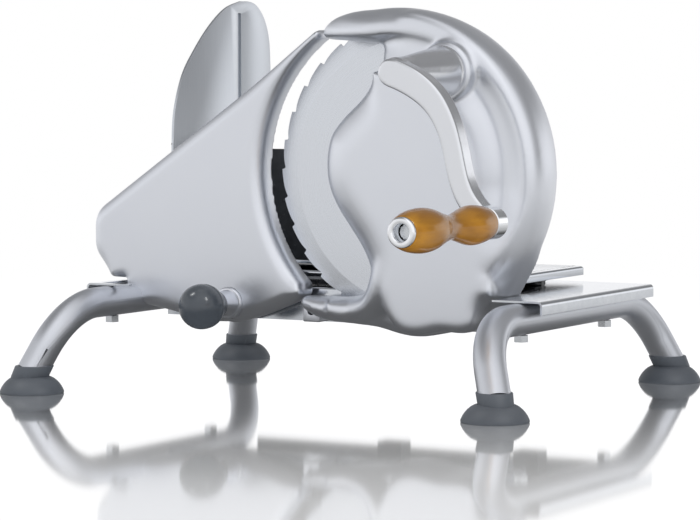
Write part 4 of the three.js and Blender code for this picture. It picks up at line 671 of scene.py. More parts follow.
class Effects:
    """Shader groups that several materials share, each made once."""

    _made: dict[str, bpy.types.NodeTree] = {}

    @classmethod
    def _group(
        cls,
        name: str,
        numbers: dict[str, float],
        outputs: Sequence[str],
        fill: Callable[[Board, Sockets], dict[str | int, object]],
    ) -> bpy.types.NodeTree:
        """Returns a group, made at its first use.

        Args:
            name: Name of the group.
            numbers: Its inputs with their values, beside the vector that every group takes.
            outputs: Names of its outputs.
            fill: Adds the nodes to the board and returns what each output gives.

        Returns:
            The node tree of the group.
        """
        if name not in cls._made:
            tree = bpy.data.node_groups.new(name, "ShaderNodeTree")
            tree.interface.new_socket(name="Vector", in_out="INPUT", socket_type="NodeSocketVector")
            for key, value in numbers.items():
                socket = tree.interface.new_socket(name=key, in_out="INPUT", socket_type="NodeSocketFloat")
                socket.default_value = value
            for key in outputs:
                kind = "NodeSocketVector" if key == "Normal" else "NodeSocketFloat"
                tree.interface.new_socket(name=key, in_out="OUTPUT", socket_type=kind)
            board = Board(tree)
            given = board.node("NodeGroupInput").outputs
            board.node("NodeGroupOutput", fill(board, given))
            cls._made[name] = tree
        return cls._made[name]

    @classmethod
    def cast_skin(cls) -> bpy.types.NodeTree:
        """Returns the fine grain of a blasted and lacquered casting."""

        def fill(board: Board, given: Sockets) -> dict[str | int, object]:
            """Mixes a fine and a broad grain."""
            fine = board.noise(given["Vector"], given["Scale"], 3.0, Roughness=0.6)
            broad = board.noise(given["Vector"], 14.0, 4.0)
            grain = board.math("ADD", board.math("MULTIPLY", fine, 0.6), board.math("MULTIPLY", broad, 0.4))
            rough = board.spread(grain, given["Low"], given["High"])
            return {"Mask": broad, "Roughness": rough, "Normal": board.bump(given["Bump"], 0.0002, fine)}

        numbers = {"Scale": 900.0, "Low": 0.28, "High": 0.36, "Bump": 0.02}
        return cls._group("cast_skin", numbers, ("Mask", "Roughness", "Normal"), fill)

    @classmethod
    def brushed_lines(cls) -> bpy.types.NodeTree:
        """Returns fine parallel lines along the stretched vector that it is given."""

        def fill(board: Board, given: Sockets) -> dict[str | int, object]:
            """Draws the lines as stretched noise."""
            lines = board.noise(given["Vector"], 1.0, 6.0, Roughness=0.7)
            rough = board.spread(lines, given["Low"], given["High"])
            return {"Mask": lines, "Roughness": rough, "Normal": board.bump(given["Bump"], 0.0001, lines)}

        numbers = {"Low": 0.2, "High": 0.3, "Bump": 0.05}
        return cls._group("brushed_lines", numbers, ("Mask", "Roughness", "Normal"), fill)

    @classmethod
    def edge_wear(cls) -> bpy.types.NodeTree:
        """Returns a mask of rubbed outer edges, broken up by noise."""

        def fill(board: Board, given: Sockets) -> dict[str | int, object]:
            """Takes the edges from the pointiness of the mesh."""
            point = board.node("ShaderNodeNewGeometry").outputs["Pointiness"]
            edge = board.between(point, 0.52, 0.6)
            broken = board.math("MULTIPLY", edge, board.noise(given["Vector"], 160.0, 4.0))
            return {"Mask": board.math("MULTIPLY", broken, given["Amount"], clamp=True)}

        return cls._group("edge_wear", {"Amount": 0.4}, ("Mask",), fill)

    @classmethod
    def dust(cls) -> bpy.types.NodeTree:
        """Returns a thin patchy mask on faces that look up."""

        def fill(board: Board, given: Sockets) -> dict[str | int, object]:
            """Takes the height of the normal and breaks it up."""
            normal = board.node("ShaderNodeNewGeometry").outputs["Normal"]
            facing = board.between(board.parts(normal)[2], 0.2, 1.0)
            patchy = board.math("MULTIPLY", facing, board.noise(given["Vector"], 55.0, 5.0))
            return {"Mask": board.math("MULTIPLY", patchy, given["Amount"], clamp=True)}

        return cls._group("dust", {"Amount": 0.2}, ("Mask",), fill)


@dataclass(frozen=True)
class Finish:
    """What every finish has: a name and two close colours that its surface wanders between."""

    name: str
    light: int
    dark: int

    def begin(self) -> tuple[bpy.types.Material, Board, Socket]:
        """Starts a material and returns it with its board and its object coordinates."""
        material = bpy.data.materials.new(self.name)
        material.use_nodes = True
        board = Board(material.node_tree)
        return material, board, board.node("ShaderNodeTexCoord").outputs["Object"]

    def ground(self, board: Board, mask: Socket) -> Socket:
        """Returns the two colours mixed by a mask."""
        return board.mix(mask, colour(self.dark), colour(self.light))

    @staticmethod
    def edge_highlighted(board: Board, where: object, base: object, amount: float, code: int) -> Socket:
        """Returns a colour with another one on its rubbed edges."""
        edge_light = board.group(Effects.edge_wear(), Vector=where, Amount=amount)
        return board.mix(edge_light[0], base, colour(code))

    @staticmethod
    def close(board: Board, inputs: dict[str | int, object]) -> None:
        """Ends a material with its surface shader."""
        shader = board.node("ShaderNodeBsdfPrincipled", inputs)
        board.node("ShaderNodeOutputMaterial", {"Surface": shader.outputs[0]})

    @classmethod
    def coat(cls, board: Board, base: object, metallic: float, skin: Sockets) -> None:
        """Ends a material with a colour, and with the roughness and the normal of a shared group."""
        look = {key: skin[key] for key in ("Roughness", "Normal")}
        cls.close(board, {"Base Color": base, "Metallic": metallic, **look})


@dataclass(frozen=True)
class CastFinish(Finish):
    """Satin silver casting."""

    low: float = 0.3
    high: float = 0.38
    grain: float = 900.0
    bump: float = 0.05

    def material(self) -> bpy.types.Material:
        """Returns the material of the finish."""
        material, board, where = self.begin()
        skin = board.group(
            Effects.cast_skin(), Vector=where, Scale=self.grain, Low=self.low, High=self.high, Bump=self.bump
        )
        # The outer edges get a lighter colour: a painted highlight.
        base = self.edge_highlighted(board, where, self.ground(board, skin["Mask"]), 0.5, 0xE4E6EA)
        self.coat(board, base, 0.92, skin)
        return material


@dataclass(frozen=True)
class BrushedFinish(Finish):
    """Sheet or bar metal with fine lines along one axis."""

    along: Axis = Axis.Y
    low: float = 0.28
    high: float = 0.42
    fineness: float = 2600.0
    bump: float = 0.12

    def material(self) -> bpy.types.Material:
        """Returns the material of the finish."""
        material, board, where = self.begin()
        stretch = [self.fineness] * 3
        stretch[self.along.value] = self.fineness / 90
        vector = board.mapping(where, Scale=stretch)
        lines = board.group(
            Effects.brushed_lines(), Vector=vector, Low=self.low, High=self.high, Bump=self.bump
        )
        # The outer edges get a lighter colour: a painted highlight.
        base = self.edge_highlighted(board, where, self.ground(board, lines["Mask"]), 0.4, 0xEEF0F2)
        self.coat(board, base, 1.0, lines)
        return material


@dataclass(frozen=True)
class GroundFinish(Finish):
    """Round part with rings of fine grinding lines about an axis along Y."""

    centre: tuple[float, float] = BLADE_AXIS
    low: float = 0.28
    high: float = 0.42
    fineness: float = 4200.0
    bump: float = 0.1

    def material(self) -> bpy.types.Material:
        """Returns the material of the finish."""
        material, board, where = self.begin()
        shift = (-self.centre[0] * MM, 0.0, -self.centre[1] * MM)
        moved = board.node("ShaderNodeVectorMath", {0: where, 1: shift}, operation="ADD").outputs[0]
        x, _, z = board.parts(moved)
        turn = board.math("ARCTAN2", z, x)
        vector = board.node("ShaderNodeCombineXYZ", {
            0: board.math("MULTIPLY", board.length(x, z), self.fineness),
            1: board.math("MULTIPLY", board.math("SINE", turn), 1.4),
            2: board.math("MULTIPLY", board.math("COSINE", turn), 1.4),
        }).outputs[0]
        lines = board.group(
            Effects.brushed_lines(), Vector=vector, Low=self.low, High=self.high, Bump=self.bump
        )
        self.coat(board, self.ground(board, lines["Mask"]), 1.0, lines)
        return material


@dataclass(frozen=True)
class MouldedFinish(Finish):
    """Plastic or rubber with a fine moulded grain and a little dust."""

    low: float = 0.3
    high: float = 0.45
    grain: float = 1300.0
    bump: float = 0.15
    dusty: float = 0.25

    def material(self) -> bpy.types.Material:
        """Returns the material of the finish."""
        material, board, where = self.begin()
        skin = board.group(
            Effects.cast_skin(), Vector=where, Scale=self.grain, Low=self.low, High=self.high, Bump=self.bump
        )
        dust = board.group(Effects.dust(), Vector=where, Amount=self.dusty)
        # The outer edges get a lighter colour: a painted highlight.
        edge_highlighted = self.edge_highlighted(board, where, self.ground(board, skin["Mask"]), 0.35, 0x8A8F96)
        self.coat(board, board.mix(dust[0], edge_highlighted, colour(0x9A9DA2)), 0.0, skin)
        return material


@dataclass(frozen=True)
class VarnishedWood(Finish):
    """Turned wood under clear varnish, with its grain along Y."""

    # Colour of the veins, and of the painted shade toward the outline
    vein_and_shade: int = 0x8A4D12
    centre: tuple[float, float] = (0.0, 0.0)

    def material(self) -> bpy.types.Material:
        """Returns the material of the finish."""
        material, board, where = self.begin()
        moved = board.mapping(where, Location=(-self.centre[0] * MM, 0.0, -self.centre[1] * MM))
        stretched = board.mapping(moved, Scale=(1.0, 0.12, 1.0))
        swirl = board.noise(stretched, 120.0, 3.0, Distortion=0.8)
        waves = {"Vector": stretched, "Scale": 62.0, "Distortion": 7.0, "Detail": 3.0, "Detail Scale": 1.4}
        rings = board.node("ShaderNodeTexWave", waves, wave_type="RINGS", rings_direction="Y").outputs[1]
        fibres = board.noise(board.mapping(moved, Scale=(1.0, 0.03, 1.0)), 1900.0, 4.0)
        # Darker toward the outline, where the surface turns away from the camera: a painted shade
        turned = board.node("ShaderNodeLayerWeight", {"Blend": 0.42}).outputs["Facing"]
        base = self.ground(board, swirl)
        for mask, share in ((rings, 0.28), (fibres, 0.18), (turned, 0.8)):
            base = board.mix(board.math("MULTIPLY", mask, share), base, colour(self.vein_and_shade))
        self.close(board, {
            "Base Color": base,
            "Roughness": board.spread(swirl, 0.3, 0.45),
            "Specular IOR Level": 0.12,
            "Normal": board.bump(0.06, 0.0002, fibres),
            "Coat Weight": 0.7,
            "Coat Roughness": 0.05,
            "Coat IOR": 1.42,
        })
        return material


@dataclass(frozen=True)
class Finishes:
    """The materials of the slicer, each made once."""

    casting: bpy.types.Material
    arm: bpy.types.Material
    tube: bpy.types.Material
    polished: bpy.types.Material
    blade: bpy.types.Material
    pusher: bpy.types.Material
    gears: bpy.types.Material
    screws: bpy.types.Material
    aluminium: bpy.types.Material
    bronze: bpy.types.Material
    rubber: bpy.types.Material
    knob: bpy.types.Material
    black: bpy.types.Material
    wood: bpy.types.Material
    bright: bpy.types.Material

    @classmethod
    def made(cls) -> "Finishes":
        """Returns all the materials."""
        return cls(
            casting=CastFinish("cast_silver", 0xE0E3E9, 0xD9DCE3).material(),
            arm=CastFinish("arm_silver", 0xE2E4E8, 0xDADCE1, low=0.2, high=0.26, bump=0.03).material(),
            tube=CastFinish("tube_silver", 0xD6D9DF, 0xCDD0D7, low=0.36, high=0.44, bump=0.03).material(),
            polished=BrushedFinish(
                "polished_steel", 0xC6CAD0, 0xBABEC5, low=0.1, high=0.18, bump=0.02
            ).material(),
            blade=GroundFinish("ground_blade", 0xE0E3E8, 0xCDD1D8, low=0.22, high=0.34).material(),
            pusher=BrushedFinish("brushed_pusher", 0xD2D6DC, 0xBFC4CB, Axis.Z, 0.24, 0.38).material(),
            gears=GroundFinish("gear_steel", 0xA4A8AD, 0x8B8F94, low=0.3, high=0.45).material(),
            screws=BrushedFinish("screw_steel", 0xD0D3D7, 0xB2B6BB, low=0.16, high=0.28).material(),
            aluminium=BrushedFinish("milled_aluminium", 0xC4C8CD, 0xAFB4BA, Axis.X).material(),
            bronze=GroundFinish("bush_bronze", 0xC49A5A, 0xA87F45).material(),
            rubber=MouldedFinish("grey_rubber", 0x575D65, 0x4A5058, low=0.42, high=0.6).material(),
            knob=MouldedFinish(
                "grey_plastic", 0x4E545C, 0x434950, low=0.18, high=0.26, bump=0.04, dusty=0.1
            ).material(),
            black=MouldedFinish("black_plastic", 0x24272C, 0x191B1F, high=0.42, dusty=0.12).material(),
            wood=VarnishedWood("amber_wood", 0xE5A62E, 0xB97A18, vein_and_shade=0x5E3608, centre=GRIP_AXIS).material(),
            bright=BrushedFinish(
                "bright_steel", 0xF0F1F3, 0xE2E4E8, low=0.05, high=0.1, bump=0.02
            ).material(),
        )


@dataclass
class Casting:
    """Guard and gear housing: a raised face that falls into a valley along a rolled rim, with two horns."""

    back: float = -24.0
    valley: float = -52.0
    face: float = -66.0
    ceiling: float = -47.0
    wall: float = 4.0
    rim_mid: float = -42.0
    rim_depth: float = 17.8
    rim_radius: float = 92.5
    # Directions from the blade axis in degrees: both ends of the rim, and the start and length of the dish
    rim_foot: float = -30.0
    rim_end: float = 98.0
    dish_start: float = -44.0
    dish_length: float = 139.5
    # How far the dish sinks at the beak, and how far the neck falls back beside it
    beak_sink: float = 3.5
    neck_drop: float = 15.0
    drawn_in: float = 2.4
    voxel: float = 1.25
    melt_passes: int = 22
    point_gap: float = 0.9
    # Points of the left edge above the raised face, and the radius of the face's edge round the blade
    neck_points: int = 22
    face_radius: float = 61.0
    # Radius at which the dish starts, and how much wider it starts at the beak
    dish_inner: float = 44.0
    dish_widening: float = 20.0
    # Sections through the dish as (distance from the blade axis, y): at the side, at the foot and at the top
    sections: tuple[Outline, Outline, Outline] = (
        [(44, -66), (53, -65.9), (60, -65.2), (66, -63.3), (72, -60.4), (77, -57.8), (80, -56.8),
         (83, -56.8), (87, -57.8), (91, -59.1), (94.5, -59.7), (97.3, -58.4), (99.3, -55.5), (100.6, -51),
         (101, -46), (101, -38), (100.3, -30)],
        [(44, -66), (56, -66), (66, -66), (74, -66), (80, -66), (84, -66), (86, -65.9), (88, -65.7),
         (90, -65.3), (92, -64.7), (94.5, -63.2), (97.3, -60.2), (99.3, -56.0), (100.6, -51), (101, -46),
         (101, -38), (100.3, -30)],
        [(44, -65.6), (50, -64.6), (57, -62.8), (63, -61.0), (69, -59.2), (75, -57.6), (79, -56.9),
         (83, -56.8), (87, -57.6), (91, -58.9), (94.5, -59.6), (97.3, -58.4), (99.3, -55.5), (100.6, -51),
         (101, -46), (101, -38), (100.3, -30)],
    )
    swell: Outline = field(default_factory=lambda: [
        (44.9, 197.8), (38.6, 190.3), (30.4, 181.8), (20.2, 172.6), (11.6, 161.4), (8.0, 146.5), (9.3, 131.0),
        (15.2, 117.4), (23.9, 105.0), (32.3, 93.4), (37.6, 83.4),
    ])

    def left_edge(self) -> Outline:
        """Returns the edge from the beak down the neck and round the swell."""
        return spline([(24, 222.5), (31.5, 221.2), (39, 218.6), (44, 215.9), (46.6, 211.6), (47, 205.5),
                       *self.swell], 4)

    def bottom_edge(self) -> Outline:
        """Returns the lower edge with the shallow lobe under the blade axis, from left to right."""
        return spline([(27, 44.1), (38, 43.4), (46, 41.8), (56, 39.4), (66, 38.4), (76, 39.2), (86, 41.6),
                       (93, 43.0), (106, 43.0)], 3)

    def outline(self) -> Outline:
        """Returns the outline of the whole casting without its horns."""
        foot = on_blade(GUARD_RADIUS, self.rim_foot)
        throat = spline([(37.6, 83.4), (38.8, 74), (36.8, 67), (31, 62.4), (22, 60.4), (6, 59)], 4)
        return [
            (24, 231), *self.left_edge(), *throat[1:], (4, 49), (12, 46), *self.bottom_edge(),
            (foot[0] - 26, 42.5), (foot[0] - 14.2, 63), *arc(BLADE_AXIS, GUARD_RADIUS, self.rim_foot, 99, 60),
        ]

    def face_outline(self) -> Outline:
        """Returns the outline of the raised face in front of the gears, up to where the valley takes over."""
        throat = spline([(37.6, 83.4), (41.5, 74), (46, 65), (52, 56.5), (59, 48), (66, 42.5), (76, 41),
                         (86, 42.6), (93, 44.0), (108, 43.6), (115.5, 47.5), (119.5, 56), (124.5, 63),
                         (127.5, 69), (126, 77)], 4)
        edge = arc(BLADE_AXIS, self.face_radius, self.rim_foot, 80, 40)
        return [*self.left_edge()[self.neck_points:], *throat[1:], *edge, (60, 201)]

    @staticmethod
    def turn_of(place: Vector) -> tuple[float, float]:
        """Returns the direction in degrees and the distance of a point from the blade axis."""
        way = place - Vector(BLADE_AXIS)
        return math.degrees(math.atan2(way.y, way.x)), way.length

    @classmethod
    def roll_share(cls, place: Vector) -> float:
        """Returns how wide the face rolls over: broad at the sides, tight along the bottom."""
        turn, reach = cls.turn_of(place)
        if turn > -30 and reach > 54 and turn < 84:
            return 0.28
        return 0.2 + 0.72 * smooth_step(place.y, 44, 84)

    @staticmethod
    def roll(name: str, stations: Sequence[tuple[float, ...]], sides: int = 40) -> Workpiece:
        """Makes a rounded roll through stations of (x, z, half width, middle y, half depth, lean).

        The lean shifts the foremost line of the roll sideways, as a share of its half width.
        """
        rings = []
        smooth = spline(stations, 4)
        for i, (x, z, half, mid, depth, lean) in enumerate(smooth):
            along = heading(smooth, i)
            ring = []
            for k in range(sides):
                angle = 2 * math.pi * k / sides
                forward = max(0.0, -math.sin(angle))
                across = half * (math.cos(angle) + lean * forward * forward * (1 - abs(math.cos(angle))))
                level = mid + depth * math.sin(angle)
                ring.append(Vector((x - along.y * across, level, z + along.x * across)))
            rings.append(ring)
        return Workpiece.loft(name, rings)

    @staticmethod
    def rim_inward(turn: float) -> float:
        """Returns how far the crest of the rim moves in toward the beak."""
        return 2.0 * smooth_step(turn, 20, 75)

    def rim(self) -> Workpiece:
        """Makes the rolled rim from its foot round to the tip of the beak."""
        mid, depth = self.rim_mid, self.rim_depth
        foot = on_blade(self.rim_radius, self.rim_foot)
        stations: list[tuple[float, ...]] = [
            (foot[0] - 23.5, 48.5, 6, mid, depth - 4, 0), (foot[0] - 15.5, 62.5, 7.5, mid, depth - 1, 0),
        ]
        count = 26
        for k in range(count + 1):
            turn = self.rim_foot + (self.rim_end - self.rim_foot) * k / count
            inward = self.rim_inward(turn)
            x, z = on_blade(self.rim_radius - inward, turn)
            stations.append((x, z, 8.5 + inward, mid, depth, 0.35 * smooth_step(turn, 55, 98)))
        stations += [
            (25, 227.8, 9.4, mid + 1, 15.8, 0.5), (12, 226.6, 7.5, mid + 3, 12.6, 0.5),
            (3.5, 224.6, 5.2, mid + 5, 8.8, 0.4), (-0.5, 223.6, 3.4, mid + 6, 5.4, 0.2),
            (-2.4, 223.1, 1.3, mid + 6, 2, 0),
        ]
        return self.roll("rim", stations)

    def lower_horn(self) -> Workpiece:
        """Makes the horn that reaches under the gauge plate and turns up into the edge of the face."""
        return self.roll("horn", [
            (56, 96, 15, -46, 19, 0), (54, 82, 14, -46, 19, 0), (50, 70, 13, -45.5, 18.5, 0),
            (44, 61, 11.5, -44, 17.5, 0), (36, 55.5, 10, -42, 16, 0), (26, 53.2, 9, -39.8, 14.2, 0),
            (14, 52.6, 8.2, -38, 12.5, 0), (3, 53.0, 7.8, -37, 11.5, 0), (-7, 54.4, 6.6, -36.5, 10, 0),
            (-14, 56.0, 4.8, -36.2, 7.4, 0), (-17.8, 57.0, 2.6, -36, 4, 0), (-19.2, 57.3, 1, -36, 1.6, 0),
        ])

    def dish(self) -> Workpiece:
        """Makes the sweep from the flat face through the valley to the crest and outer wall of the rim."""
        rings = []
        count = 64
        for k in range(count + 1):
            turn = self.dish_start + self.dish_length * k / count
            inner = self.dish_inner + self.dish_widening * smooth_step(turn, 78, 95)
            sunk = self.beak_sink * smooth_step(turn, 80, 95)
            low = 1 - smooth_step(turn, -34, -4)
            high = smooth_step(turn, 25, 70)
            inward = self.rim_inward(turn)
            profile = []
            for (reach, level), (reach_low, level_low), (reach_high, level_high) in zip(*self.sections):
                across = reach + (reach_low - reach) * low + (reach_high - reach) * high
                depth = level + (level_low - level) * low + (level_high - level) * high
                across = max(across, inner)
                if 70 < across < 95:
                    across -= inward * smooth_step(across, 70, 92)
                if across > 95:
                    across -= sunk
                x, z = on_blade(across, turn)
                rising = smooth_step(across, 84, 90)
                left = min(max((70 - x) / 26, 0.0), 1.0) * (1 - rising) * smooth_step(turn, 40, 60)
                depth += self.neck_drop * (1 - math.sqrt(1 - left * left)) + sunk * rising
                profile.append(Vector((x, depth, z)))
            for reach in (95, self.dish_inner):
                x, z = on_blade(reach, turn)
                profile.append(Vector((x, self.back - 4, z)))
            rings.append(profile)
        return Workpiece.loft("dish", rings)

    def outer_mould(self) -> Workpiece:
        """Fuses the plate, face, dish, rim, horn and hub seat, and draws the rim in a little to the back."""
        plate = thinned(self.outline(), self.point_gap)
        body = Workpiece.loft("casting", rolled_rings(plate, self.back, self.valley, 9, 9, 8))
        raised = thinned(self.face_outline(), self.point_gap)
        rings = rolled_rings(raised, self.back - 6, self.face, 27, 20, 18, reach=self.roll_share)
        face, low = self.face, self.valley + 4
        seat = [(0, face), (17.5, face), (18.2, face + 1.2), (18.2, low), (0, low)]
        boss = Workpiece.turned("boss", seat, on_axis(CRANK_AXIS))
        body.join(Workpiece.loft("raised", rings), self.dish(), self.rim(), self.lower_horn(), boss)
        body.melt(self.voxel, self.melt_passes, lambda co: smooth_step(self.back - co.y, 2.5, 9))
        for vertex in body.obj.data.vertices:
            way = Vector((vertex.co.x - BLADE_AXIS[0], vertex.co.z - BLADE_AXIS[1]))
            turn = math.degrees(math.atan2(way.y, way.x))
            share = smooth_step(turn, -34, -24) * (1 - smooth_step(turn, 84, 100))
            share *= smooth_step(way.length, 88, 100)
            behind = max(0.0, (vertex.co.y - self.rim_mid) / (self.back - self.rim_mid))
            drawn = self.drawn_in * share * behind**2
            vertex.co.x -= way.normalized().x * drawn
            vertex.co.z -= way.normalized().y * drawn
        return body

    def build(self, finishes: Finishes) -> None:
        """Models, hollows and dresses the casting, and makes the cover behind it."""
        body = self.outer_mould()
        plate = thinned(self.outline(), self.point_gap)
        inner = rolled_rings(plate, self.back + 2, self.ceiling, self.wall + 2.6, 0.1, 1)[-1]
        body.cut(Workpiece.prism("cavity", [(p.x, p.z) for p in inner], (self.back + 2, self.ceiling)))
        body.drill(9.2, -70, -40, on_axis(CRANK_AXIS))
        for x in (-10.0, 116.0):
            pad = Workpiece.block("pad", (x - 6, -40, 44), (x + 6, -19, 57)).soften(0.8)
            pad.drill(2.8, -42, -17, Vector((x, 0, 51)), steps=24)
            body.join(pad)
        body.obj.name = "housing_casting"
        body.finish("base", finishes.casting, "cast_silver", ["housing"], sharp=50)
        self.cover(inner, finishes)

    def cover(self, inner: Sequence[Vector], finishes: Finishes) -> None:
        """Makes the flat cover that closes the gears off toward the blade."""
        middle = sum(inner, Vector()) / len(inner)
        outline = [(p.x + (middle.x - p.x) * 0.006, p.z + (middle.z - p.z) * 0.006) for p in inner]
        work = Workpiece.prism("gear_cover_pressed", outline, (-30.0, -27.3))
        for axis, reach in ((BLADE_AXIS, 11.0), (CRANK_AXIS, 9.0), (IDLER_AXIS, 5.0)):
            work.drill(reach, -32, -25, on_axis(axis))
        work.soften(0.4, 2, 50)
        work.finish("base", finishes.aluminium, "brushed_aluminium", ["gear_cover"], sharp=35)


@dataclass
class Gauge:
    """Gauge plate with its rods, the adjuster, the bush and the knob."""

    back: float = -22.5
    front: float = -38.5
    roll: float = 8.5
    tip_angle: float = 125.3
    ball_radius: float = 14.2
    rod_reach: float = 24.0
    tray_top: float = 64.8

    def outline(self) -> Outline:
        """Returns the outline: the horn, the long slope, the heel and the edge round the blade."""
        tip = on_blade(GUARD_RADIUS + 2.3, self.tip_angle - 0.6)
        low = self.tray_top + 1.6
        heel = rounded([
            (-60, 188.5, 0), (-175.5, 108.7, 16), (-175.5, 84, 16), (-161, low, 2), (-150.5, low, 0.6),
            (-150.5, 59, 2), (-139, 50, 5), (-113, 45.3, 0), (-84, 40.6, 0),
        ])
        return [
            *arc(BLADE_AXIS, GUARD_RADIUS, 224.6, self.tip_angle, 60),
            (tip[0] + 0.4, tip[1] + 1.6), (tip[0] - 1.2, tip[1] + 2.8), (tip[0] - 3.4, tip[1] + 2.6),
            *heel,
            *arc(KNOB_AXIS, 13, -105, -70, 8),
            *spline([(-66, 41.4), (-50, 46.2), (-36, 51.6), (-25.5, 55.8)], 6),
            *spline([(-22.2, 57.4), (-19.3, 59.9), (-18.4, 63.0)], 3),
        ]

    def plate(self, finishes: Finishes) -> None:
        """Makes the plate with its rolled edge."""
        outline = resampled(thinned(self.outline(), 0.7), 3.0)
        rings = rolled_rings(outline, self.back, self.front, self.roll, self.roll, 14)
        work = Workpiece.loft("gauge_plate_cast", rings)
        work.melt(1.2, 10, lambda co: max(0.0, min(1.0, (self.back - 1.5 - co.y) / 4)))
        x, z = KNOB_AXIS
        place = on_axis(KNOB_AXIS)
        seat = [(0, self.front - 2), (10.2, self.front - 2), (10.2, self.front + 6), (4.2, self.front + 6),
                (4.2, self.back + 1), (0, self.back + 1)]
        work.cut(Workpiece.turned("seat", seat, place, steps=48))
        for rod in (x - self.rod_reach, x + self.rod_reach):
            work.drill(4.2, self.back - 11, self.back + 1, Vector((rod, 0, z)), steps=32)
        work.finish("gauge", finishes.casting, "cast_silver", ["gauge_plate"], sharp=50)

    def adjuster(self, finishes: Finishes) -> None:
        """Makes the bush, the knob and the rods."""
        x, z = KNOB_AXIS
        place = on_axis(KNOB_AXIS)
        f = self.front
        bush = Workpiece.turned("knob_bush_turned", [
            (4.25, f - 15), (7.0, f - 15), (7.4, f - 14.6), (7.9, f - 9), (8.3, f - 3.2), (8.5, f - 2.6),
            (9.4, f - 2.4), (9.9, f - 1.9), (10.0, f - 1.2), (10.0, f + 5.7), (4.25, f + 5.7),
        ], place, closed=True)
        bush.finish("gauge", finishes.casting, "cast_silver", ["knob_bush"], sharp=30)
        centre, r = f - 33, self.ball_radius
        turns = [math.radians(a) for a in range(0, 92, 6)]
        ball = [(r * math.sin(a), centre - r * math.cos(a)) for a in turns]
        knob = Workpiece.turned("gauge_knob_moulded", [
            *ball, (r, centre + 1.6), (13.6, centre + 2.2), (13.6, centre + 3.2), (14.0, centre + 3.9),
            (13.4, centre + 6.2), (12.2, centre + 8.8), (10.3, centre + 11.4), (8.8, f - 15.9),
            (8.5, f - 15.3), (4.25, f - 15.3), (4.25, centre + 1), (0, centre + 1),
        ], place)
        knob.finish("knob", finishes.knob, "grey_plastic", ["gauge_knob"], sharp=28)
        near, far = self.back - 10.7, self.back + 51
        for i, rod in enumerate((x - self.rod_reach, x + self.rod_reach)):
            profile = [(0, near), (4, near), (4, far - 1), (3, far), (0, far)]
            bar = Workpiece.turned(f"guide_rod_{i + 1}_ground", profile, Vector((rod, 0, z)), steps=40)
            bar.finish("gauge", finishes.bright, "polished_steel", [f"guide_rod_{i + 1}"])
        thread = [(0.0, centre + 1.3), (4.0, centre + 1.3), (4.0, f + 18.0)]
        level = f + 18.0
        while level < self.back + 29:
            thread += [(4.0, level + 0.25), (3.4, level + 0.6), (3.4, level + 0.7), (4.0, level + 1.0)]
            level += 1.05
        thread += [(3.2, self.back + 30), (0, self.back + 30)]
        screw = Workpiece.turned("adjuster_threaded", thread, place, steps=24)
        screw.finish("knob", finishes.screws, "brushed_steel", ["adjuster_screw"], sharp=25)

    def build(self, finishes: Finishes) -> None:
        """Models and dresses the gauge."""
        self.plate(finishes)
        self.adjuster(finishes)


